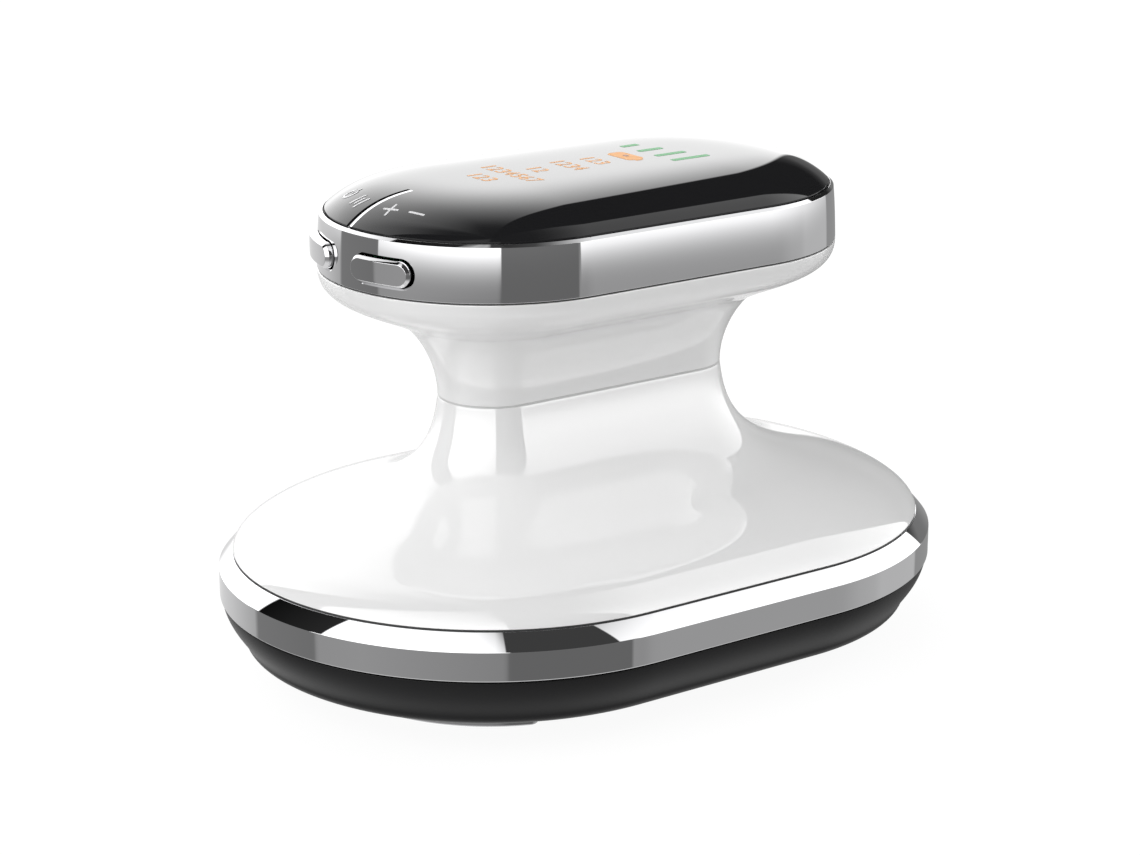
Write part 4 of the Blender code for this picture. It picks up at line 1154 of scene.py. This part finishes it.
# The names, numbers and middles of the lit rows
ROWS = (
    ("level_numbers_1", "123", -0.01935, 0.0004),
    ("level_numbers_2", "1234567", -0.0139, 0.00015),
    ("level_numbers_3", "12", -0.00865, 0.00025),
    ("level_numbers_4", "1234", -0.00255, 0.0001),
    ("level_numbers_5", "123", 0.0031, 0.0006),
)
# Where each level bar stands across the panel, and where it ends
BAR_ROWS = ((0.0073, 0.0170), (0.0026, 0.01845), (-0.0021, 0.0197), (-0.0066, 0.0211))
BAR_START = 0.01355
BAR_WIDTH = 0.0013
BAR_CORNER_SHARE = 0.4
SIGN_PLACE = (0.00935, 0.0006)
SIGN_HALF_LENGTH = 0.0034
SIGN_HALF_HEIGHT = 0.00165
SIGN_CORNER = 0.0011
SIGN_STEPS = 8
NUB_GAP = 0.00005
NUB_HALF_LENGTH = 0.0003
NUB_HALF_HEIGHT = 0.0007
NUB_CORNER = 0.0002
SPOT_PLACE = (0.00956, 0.0007)
SPOT_HALF_LENGTH = 0.0006
SPOT_HALF_HEIGHT = 0.0004
SPOT_CORNER = 0.0003
SPOT_STEPS = 6
RING_STEPS = 40
POWER_RADIUS = 0.00115
POWER_GAP = math.radians(32)
POWER_STEM_Y = 0.0009
POWER_STEM_HALF = 0.0008
BARS_PITCH = 0.0011
TALL_BAR_HALF = 0.00135
SHORT_BAR_HALF = 0.0009
CROSS_HALF = 0.0015


def spans(bm):
    """The least and the greatest x, and the least and the greatest y."""
    return [(min(values), max(values)) for values in zip(*(vert.co.xy for vert in bm.verts))]


def laid_on_crown(name, bm, centre, proud, right=READ_RIGHT, up=READ_UP):
    """Bends a flat solid onto the crown. Its own X runs to the right and its own Y up as it is read."""
    for (low, high), normal in zip(spans(bm), ((1, 0, 0), (0, 1, 0))):
        cuts = int((high - low) / CELL)
        for index in range(1, cuts + 1):
            along = low + (high - low) * index / (cuts + 1)
            whole = bm.verts[:] + bm.edges[:] + bm.faces[:]
            bmesh.ops.bisect_plane(
                bm, geom=whole, dist=WELD, plane_co=[along * n for n in normal], plane_no=normal
            )
    for vert in bm.verts:
        across, rise, layer = vert.co
        x = centre[0] + right[0] * across + up[0] * rise
        y = centre[1] + right[1] * across + up[1] * rise
        vert.co = (x, y, crown_at(x, y) + (proud if layer > 0 else -SLACK))
    bmesh.ops.triangulate(bm, faces=bm.faces)
    return settle(mesh_from(name, bm))


def flat_solid(outline):
    """A closed outline filled and given a thickness."""
    curve = bpy.data.curves.new("outline", "CURVE")
    curve.dimensions = "2D"
    curve.fill_mode = "BOTH"
    curve.extrude = GLYPH_HALF_THICKNESS
    spline = curve.splines.new("POLY")
    spline.points.add(len(outline) - 1)
    for point, (x, y) in zip(spline.points, outline):
        point.co = (x, y, 0, 1)
    spline.use_cyclic_u = True
    return solid_from(curve)


def solid_from(curve):
    """Turns a filled curve into a mesh being edited."""
    guide = bpy.data.objects.new("outline", curve)
    bpy.context.scene.collection.objects.link(guide)
    mesh = evaluated_mesh(guide)
    bpy.data.objects.remove(guide)
    bpy.data.curves.remove(curve)
    bm = bmesh.new()
    bm.from_mesh(mesh)
    bpy.data.meshes.remove(mesh)
    bmesh.ops.remove_doubles(bm, verts=bm.verts, dist=GLYPH_WELD)
    return bm


def digit_solid(text, height, width):
    """One number as a flat solid of this height and width, its middle at the origin."""
    curve = bpy.data.curves.new(text, "FONT")
    curve.body = text
    curve.size = height
    curve.extrude = GLYPH_HALF_THICKNESS
    curve.resolution_u = GLYPH_STEPS
    bm = solid_from(curve)
    (left, right), (low, high) = spans(bm)
    scale_y = height / (high - low)
    scale_x = min(width / (right - left), scale_y * DIGIT_STRETCH)
    for vert in bm.verts:
        vert.co.x = (vert.co.x - (left + right) / 2) * scale_x
        vert.co.y = (vert.co.y - (low + high) / 2) * scale_y
    return bm


def merge(bms):
    """One mesh being edited from several, each already in place."""
    whole = bmesh.new()
    for bm in bms:
        mesh = bpy.data.meshes.new("joined")
        bm.to_mesh(mesh)
        bm.free()
        whole.from_mesh(mesh)
        bpy.data.meshes.remove(mesh)
    return whole


def make_numbers(legends):
    """The rows of lit numbers."""
    for name, text, x, y in ROWS:
        glyphs = []
        for index, digit in enumerate(text):
            bm = digit_solid(digit, legends.digit_height, legends.digit_advance * DIGIT_SHARE)
            shift = (index - (len(text) - 1) / 2) * legends.digit_advance
            bmesh.ops.translate(bm, verts=bm.verts, vec=(shift, 0, 0))
            glyphs.append(bm)
        place_piece(laid_on_crown(name, merge(glyphs), (x, y), legends.proud), "numbers")


def make_battery_sign(legends):
    """The lit charge sign with its dark spot."""
    body = rounded_rectangle(SIGN_HALF_LENGTH, SIGN_HALF_HEIGHT, SIGN_CORNER, SIGN_STEPS)
    nub = rounded_rectangle(NUB_HALF_LENGTH, NUB_HALF_HEIGHT, NUB_CORNER, SMALL_STEPS)
    nub = shifted(nub, SIGN_HALF_LENGTH + NUB_GAP + NUB_HALF_LENGTH)
    sign = merge([flat_solid(body), flat_solid(nub)])
    place_piece(laid_on_crown("charge_sign", sign, SIGN_PLACE, legends.proud), "numbers")
    spot = flat_solid(rounded_rectangle(SPOT_HALF_LENGTH, SPOT_HALF_HEIGHT, SPOT_CORNER, SPOT_STEPS))
    place_piece(laid_on_crown("charge_spot", spot, SPOT_PLACE, 2 * legends.proud), "spot")


def bar_outline(x, y, half_x, half_y):
    """A bar with rounded corners about its middle."""
    corner = min(half_x, half_y) * BAR_CORNER_SHARE
    return shifted(rounded_rectangle(half_x, half_y, corner, SMALL_STEPS), x, y)


def make_bars(legends):
    """The lit level bars, each longer than the one before."""
    for index, (y, end) in enumerate(BAR_ROWS, 1):
        half = (end - BAR_START) / 2
        bar = flat_solid(bar_outline(0, 0, BAR_WIDTH / 2, half))
        place_piece(laid_on_crown(f"level_bar_{index}", bar, (BAR_START + half, y), legends.proud), "bars")


def ring_outline(radius, stroke, gap_angle):
    """An open ring with its gap at the top."""
    start = math.pi / 2 + gap_angle
    end = math.pi / 2 - gap_angle + 2 * math.pi
    outer = arc((0, 0), radius + stroke / 2, start, end, RING_STEPS)
    return outer + arc((0, 0), radius - stroke / 2, end, start, RING_STEPS)


def power_sign(half, out):
    """An open ring and an upright bar in its gap. A sign takes half its stroke's width and grows by out."""
    ring = ring_outline(POWER_RADIUS, 2 * (half + out), POWER_GAP)
    return [ring, bar_outline(0, POWER_STEM_Y, half + out, POWER_STEM_HALF + out)]


def mode_sign(half, out):
    """Three upright bars, the middle one shorter."""
    bars = ((-BARS_PITCH, TALL_BAR_HALF), (0, SHORT_BAR_HALF), (BARS_PITCH, TALL_BAR_HALF))
    return [bar_outline(x, 0, half + out, length + out) for x, length in bars]


def minus_sign(half, out):
    """A bar that lies across."""
    return [bar_outline(0, 0, CROSS_HALF + out, half + out)]


def plus_sign(half, out):
    """A bar that lies across and an upright one."""
    return minus_sign(half, out) + [bar_outline(0, 0, half + out, CROSS_HALF + out)]


# For each sign over a key: its key, its reach, how far it stands to the right of the key's middle, whether it
# gets painted relief (a light painted highlight over a dark painted-shade outline) and its outlines
MARKS = (
    ("power_mark", -1, 0.0222, -0.0028, True, power_sign),
    ("mode_mark", -1, 0.0222, 0.0028, True, mode_sign),
    ("plus_mark", 1, 0.0219, -0.0027, False, plus_sign),
    ("minus_mark", 1, 0.0219, 0.0024, False, minus_sign),
)


def make_key_marks(legends):
    """The marks over the keys. The first key's are light strokes over a wider dark outline, a painted
    highlight and painted shade that stand in for relief; the second key's are light grey print.
    """
    half = legends.stroke / 2
    for name, side, reach, offset, painted_relief_shade, sign in MARKS:
        turn = math.pi + side * KEY_SPREAD
        radial = Vector((math.cos(turn), math.sin(turn)))
        up = -radial
        right = Vector((up.y, -up.x))
        centre = Vector((-SPINE, 0)) + radial * reach + right * offset
        # Light strokes: print on the second key, a painted highlight on the first
        layers = [(name, "print_and_painted_highlight", 0)]
        # Under the first key's strokes, a wider dark outline of painted shade
        if painted_relief_shade:
            layers.insert(0, (f"{name}_edge", "painted_relief_shade", legends.painted_shade_outline_width))
        for level, (layer, look, out) in enumerate(layers, 1):
            whole = merge([flat_solid(outline) for outline in sign(half, out)])
            place_piece(laid_on_crown(layer, whole, centre, level * legends.proud, right, up), look)


# Studio

CAMERA_PLACE = (-0.274453, -0.375602, 0.177880)
CAMERA_RIGHT = (0.80769, -0.58960, 0.00155)
CAMERA_UP = (0.17028, 0.23577, 0.95678)
CAMERA_FORWARD = (0.56448, 0.77252, -0.29083)
CAMERA_CLIP = (0.01, 50)
# The photo's width, and how far the camera's axis is from its middle, in its pixels
PHOTO_WIDTH = 1140
AXIS_RIGHT = 11.3
AXIS_DOWN = 8.2

# Radiance of the studio by elevation, in degrees: between the flags, and on the flags
OPEN_LEVELS = (
    (0, 2.3), (12, 2.3), (15, 2.15), (20, 2.0), (30, 1.8), (40, 1.5), (50, 1.13), (55, 0.92), (60, 0.66),
    (65, 0.41), (70, 0.19), (75, 0.07), (90, 0.02),
)
# How many degrees the lamps reach higher, by azimuth
LAMP_RISES = (
    (-180, 22), (-160, 24), (-136, 20), (-124, 12), (-118, 0), (64, 0), (76, 6), (90, 10), (104, 0), (118, 0),
    (150, 9), (165, 22), (180, 22),
)
TOP_RISE = 24
# The floor's radiance towards straight below, where it isn't seen at a slant
NADIR_LEVEL = 0.8
FLAG_LEVELS = ((0, 0.2), (8, 0.2), (12, 0.08), (16, 0.02), (22, 0.005), (90, 0.005))
# The least radiance of the flags, by azimuth, which their upper parts have
FLAG_SHEENS = (
    (-118, 0.055), (-64, 0.055), (11.5, 0.02), (119, 0.005), (137, 0.017), (145, 0.022), (157, 0.03),
)
# Radiance of the table's surface below the horizon, by azimuth in degrees
TABLE_LEVELS = (
    (-180, 0.35), (-120, 0.27), (-118, 0.153), (-66, 0.153), (-65, 0.32), (-60, 0.32), (-55, 0.365),
    (-45, 0.39), (-35, 0.455), (-25, 0.487), (-20, 0.54), (11, 0.54), (12, 0.31), (45, 0.31), (46, 0.82),
    (60, 0.82), (80, 0.71), (95, 0.65), (105, 0.574), (115, 0.487), (119, 0.45), (120, 0.218), (156, 0.19),
    (158, 0.337), (180, 0.35),
)
# Each flag's two edges in azimuth at the horizon, and how far its second edge moves by mid height
FLAGS = ((-118, -64, 4), (11.5, 45.5, 0), (119.5, 157, -7))
FLAG_SOFTNESS = 0.5
# Elevations between which a flag's second edge moves, the floor's radiance fades in and the horizon lies
FLAG_TURN = (12, 40)
FLOOR_FADE = (-55, -25)
HORIZON = (-11, 4)
TOP_LEVEL = 2.3
FLOOR_HALF_SIZE = 6.0
FLOOR_DROP = 0.0001
FLOOR_GLOW = 0.93


def ramp(tree, levels, low, high, source, top=TOP_LEVEL):
    """A colour ramp over angles in degrees whose values are shares of the top level."""
    node = tree.nodes.new("ShaderNodeValToRGB")
    stops = node.color_ramp.elements
    while len(stops) > 1:
        stops.remove(stops[-1])
    for index, (angle, level) in enumerate(levels):
        place = (angle - low) / (high - low)
        stop = stops[0] if index == 0 else stops.new(place)
        stop.position = place
        stop.color = (*[level / top] * 3, 1)
    low, high = math.radians(low), math.radians(high)
    spread = add_node(tree, "ShaderNodeMapRange", Value=source, From_Min=low, From_Max=high)
    feed(tree, node.inputs["Fac"], spread.outputs["Result"])
    return node.outputs["Color"]


def soft_step(tree, source, low, high):
    """A smooth rise from 0 to 1 between two values of the source."""
    node = add_node(tree, "ShaderNodeMapRange", Value=source, From_Min=low, From_Max=high)
    node.interpolation_type = "SMOOTHSTEP"
    return node.outputs["Result"]


def make_world(settings):
    """A round studio of lamps and black flags, with a white backdrop for the camera and through glass.

    Glossy rays keep the studio: its open part is whiter than the backdrop, and the chrome shows its flags.
    """
    world = bpy.data.worlds.new("studio")
    bpy.context.scene.world = world
    world.use_nodes = True
    tree = world.node_tree
    tree.nodes.clear()
    where = add_node(tree, "ShaderNodeTexCoord").outputs["Generated"]
    split = add_node(tree, "ShaderNodeSeparateXYZ", Vector=where).outputs
    azimuth = math_node(tree, "ARCTAN2", split["Y"], split["X"])
    elevation = math_node(tree, "ARCSINE", split["Z"])
    higher = ramp(tree, LAMP_RISES, -180, 180, azimuth, TOP_RISE)
    lowered = math_node(tree, "MULTIPLY_ADD", higher, math.radians(-TOP_RISE), elevation)
    lamps = ramp(tree, OPEN_LEVELS, 0, 90, lowered)
    sheen = ramp(tree, FLAG_SHEENS, -180, 180, azimuth)
    flags = math_node(tree, "MAXIMUM", ramp(tree, FLAG_LEVELS, 0, 90, elevation), sheen)
    soft = math.radians(FLAG_SOFTNESS)
    turn, fade, rise = [
        soft_step(tree, elevation, math.radians(low), math.radians(high))
        for low, high in (FLAG_TURN, FLOOR_FADE, HORIZON)
    ]
    shut = 0.0
    for start, end, move in FLAGS:
        start = math.radians(start)
        edge = math_node(tree, "MULTIPLY_ADD", turn, math.radians(move), math.radians(end))
        edges = [math_node(tree, operation, edge, soft) for operation in ("SUBTRACT", "ADD")]
        entered = soft_step(tree, azimuth, start - soft, start + soft)
        inside = math_node(tree, "SUBTRACT", entered, soft_step(tree, azimuth, *edges))
        shut = math_node(tree, "MAXIMUM", shut, inside)
    nadir = (*[NADIR_LEVEL / TOP_LEVEL] * 3, 1)
    lower = mixed(tree, fade, nadir, ramp(tree, TABLE_LEVELS, -180, 180, azimuth))
    around = mixed(tree, rise, lower, mixed(tree, shut, lamps, flags))
    light = add_node(tree, "ShaderNodeBackground", Color=around, Strength=TOP_LEVEL * settings.level)
    backdrop = add_node(tree, "ShaderNodeBackground", Color=(1, 1, 1, 1))
    path = add_node(tree, "ShaderNodeLightPath").outputs
    direct = math_node(tree, "MAXIMUM", path["Is Camera Ray"], path["Is Transmission Ray"])
    add_node(tree, "ShaderNodeOutputWorld", Surface=either(tree, direct, light, backdrop))


def make_floor(settings):
    """A pale floor that keeps the device's shadow and can be seen through from below."""
    bm = bmesh.new()
    bmesh.ops.create_grid(bm, x_segments=4, y_segments=4, size=FLOOR_HALF_SIZE)
    bmesh.ops.translate(bm, verts=bm.verts, vec=(0, 0, -FLOOR_DROP))
    floor = mesh_from("studio_floor", bm)
    if floor.data.polygons[0].normal.z < 0:
        floor.data.flip_normals()
    made = bpy.data.materials.new("pale floor")
    made.use_nodes = True
    tree = made.node_tree
    tree.nodes.clear()
    surface = add_node(tree, "ShaderNodeBsdfDiffuse", Color=(*settings.floor, 1))
    glow = add_node(tree, "ShaderNodeEmission", Strength=FLOOR_GLOW)
    both = tree.nodes.new("ShaderNodeAddShader")
    for socket, shader in zip(both.inputs, (surface, glow)):
        feed(tree, socket, shader.outputs[0])
    clear = tree.nodes.new("ShaderNodeBsdfTransparent")
    below = add_node(tree, "ShaderNodeNewGeometry").outputs["Backfacing"]
    add_node(tree, "ShaderNodeOutputMaterial", Surface=either(tree, below, both, clear))
    floor.data.materials.append(made)
    floor.visible_glossy = False
    floor.visible_diffuse = False
    floor.visible_transmission = False
    floor.visible_shadow = False


def make_camera(settings):
    """The camera, at the place that was fitted to the photo."""
    camera = bpy.data.objects.new("camera", bpy.data.cameras.new("camera"))
    bpy.context.scene.collection.objects.link(camera)
    axes = (CAMERA_RIGHT, CAMERA_UP, [-value for value in CAMERA_FORWARD])
    turned = Matrix([[axis[row] for axis in axes] for row in range(3)])
    camera.matrix_world = Matrix.Translation(CAMERA_PLACE) @ turned.to_4x4()
    camera.data.lens = settings.lens
    camera.data.shift_x = -AXIS_RIGHT / PHOTO_WIDTH
    camera.data.shift_y = AXIS_DOWN / PHOTO_WIDTH
    camera.data.clip_start, camera.data.clip_end = CAMERA_CLIP
    bpy.context.scene.camera = camera


# Operators

class DEVICE_OT_finishes(bpy.types.Operator):
    """Make the finishes and give every CAD node its own"""

    bl_idname = "device.finishes"
    bl_label = "Finishes"

    def execute(self, context):
        LOOKS.update(make_finishes(context.scene.device_finishes))
        slots = {row["node"]: row["material_slot"] for row in frame["record"]["subparts"]}
        for node, made in frame["nodes"].items():
            made.data.materials.clear()
            made.data.materials.append(LOOKS[slots[node]])
        return {"FINISHED"}


class DEVICE_OT_base(bpy.types.Operator):
    """Make the black tub, the metal plates under it and the light windows"""

    bl_idname = "device.base"
    bl_label = "Base"

    def execute(self, context):
        settings = context.scene.device_bodies
        place_piece(make_tub(settings), "black_plastic", replaced=("base_shell",))
        make_plates(settings)
        make_windows(settings)
        return {"FINISHED"}


class DEVICE_OT_bodies(bpy.types.Operator):
    """Make the two white bodies"""

    bl_idname = "device.bodies"
    bl_label = "White bodies"

    def execute(self, context):
        settings = context.scene.device_bodies
        place_piece(make_skirt(settings), "white_gloss", replaced=("lower_body",))
        place_piece(make_cup(settings), "white_gloss", replaced=("upper_body",))
        return {"FINISHED"}


class DEVICE_OT_trims(bpy.types.Operator):
    """Make the chrome ring, the chrome band and the painted shade that fills the seams"""

    bl_idname = "device.trims"
    bl_label = "Chrome trims"

    def execute(self, context):
        settings = context.scene.device_bodies
        place_piece(make_base_ring(settings), "chrome", replaced=("base_trim_ring",))
        band = make_band(settings, context.scene.device_keys)
        place_piece(band, "chrome", replaced=("top_trim_ring",))
        make_painted_seam_shades(settings)
        return {"FINISHED"}


class DEVICE_OT_panel(bpy.types.Operator):
    """Make the domed display panel and the strip in its groove"""

    bl_idname = "device.panel"
    bl_label = "Display panel"

    def execute(self, context):
        place_piece(make_panel(), "black_glass", replaced=("top_panel",))
        place_piece(make_inlay(), "chrome")
        return {"FINISHED"}


class DEVICE_OT_keys(bpy.types.Operator):
    """Make the two rocker keys and the charging socket"""

    bl_idname = "device.keys"
    bl_label = "Keys and socket"

    def execute(self, context):
        keys = context.scene.device_keys
        make_key("power_mode_cap", "power_mode_key", -1, "power_mode_rocker", keys)
        make_key("level_cap", "level_key", 1, "level_rocker", keys)
        make_socket()
        return {"FINISHED"}


class DEVICE_OT_legends(bpy.types.Operator):
    """Make the lit numbers, the charge sign, the level bars and the keys' marks"""

    bl_idname = "device.legends"
    bl_label = "Legends"

    def execute(self, context):
        legends = context.scene.device_legends
        make_numbers(legends)
        make_battery_sign(legends)
        make_bars(legends)
        make_key_marks(legends)
        return {"FINISHED"}


class DEVICE_OT_stage(bpy.types.Operator):
    """Make the studio's light, the pale floor and the camera"""

    bl_idname = "device.stage"
    bl_label = "Studio"

    def execute(self, context):
        settings = context.scene.device_stage
        make_world(settings)
        make_floor(settings)
        make_camera(settings)
        context.scene.view_settings.view_transform = "Standard"
        return {"FINISHED"}


OPERATORS = (
    DEVICE_OT_finishes,
    DEVICE_OT_base,
    DEVICE_OT_bodies,
    DEVICE_OT_trims,
    DEVICE_OT_panel,
    DEVICE_OT_keys,
    DEVICE_OT_legends,
    DEVICE_OT_stage,
)
SETTINGS = (
    ("device_bodies", BodySettings),
    ("device_keys", KeySettings),
    ("device_legends", LegendSettings),
    ("device_finishes", FinishSettings),
    ("device_stage", StageSettings),
)


class DEVICE_PT_panel(bpy.types.Panel):
    """Lists the steps that build the device and their settings"""

    bl_idname = "DEVICE_PT_panel"
    bl_label = "Slimming device"
    bl_space_type = "VIEW_3D"
    bl_region_type = "UI"
    bl_category = "Device"

    def draw(self, context):
        for operator in OPERATORS:
            self.layout.operator(operator.bl_idname)
        for name, group in SETTINGS:
            box = self.layout.box()
            for label in group.__annotations__:
                box.prop(getattr(context.scene, name), label)


def register():
    for made in (*[group for _, group in SETTINGS], *OPERATORS, DEVICE_PT_panel):
        bpy.utils.register_class(made)
    for name, group in SETTINGS:
        setattr(bpy.types.Scene, name, PointerProperty(type=group))


def unregister():
    for name, _ in SETTINGS:
        delattr(bpy.types.Scene, name)
    for made in (DEVICE_PT_panel, *OPERATORS[::-1], *[group for _, group in SETTINGS[::-1]]):
        bpy.utils.unregister_class(made)


def main():
    """Registers the add-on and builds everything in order."""
    register()
    bpy.ops.device.finishes()
    bpy.ops.device.base()
    bpy.ops.device.bodies()
    bpy.ops.device.trims()
    bpy.ops.device.panel()
    bpy.ops.device.keys()
    bpy.ops.device.legends()
    bpy.ops.device.stage()


if __name__ == "__main__":
    main()
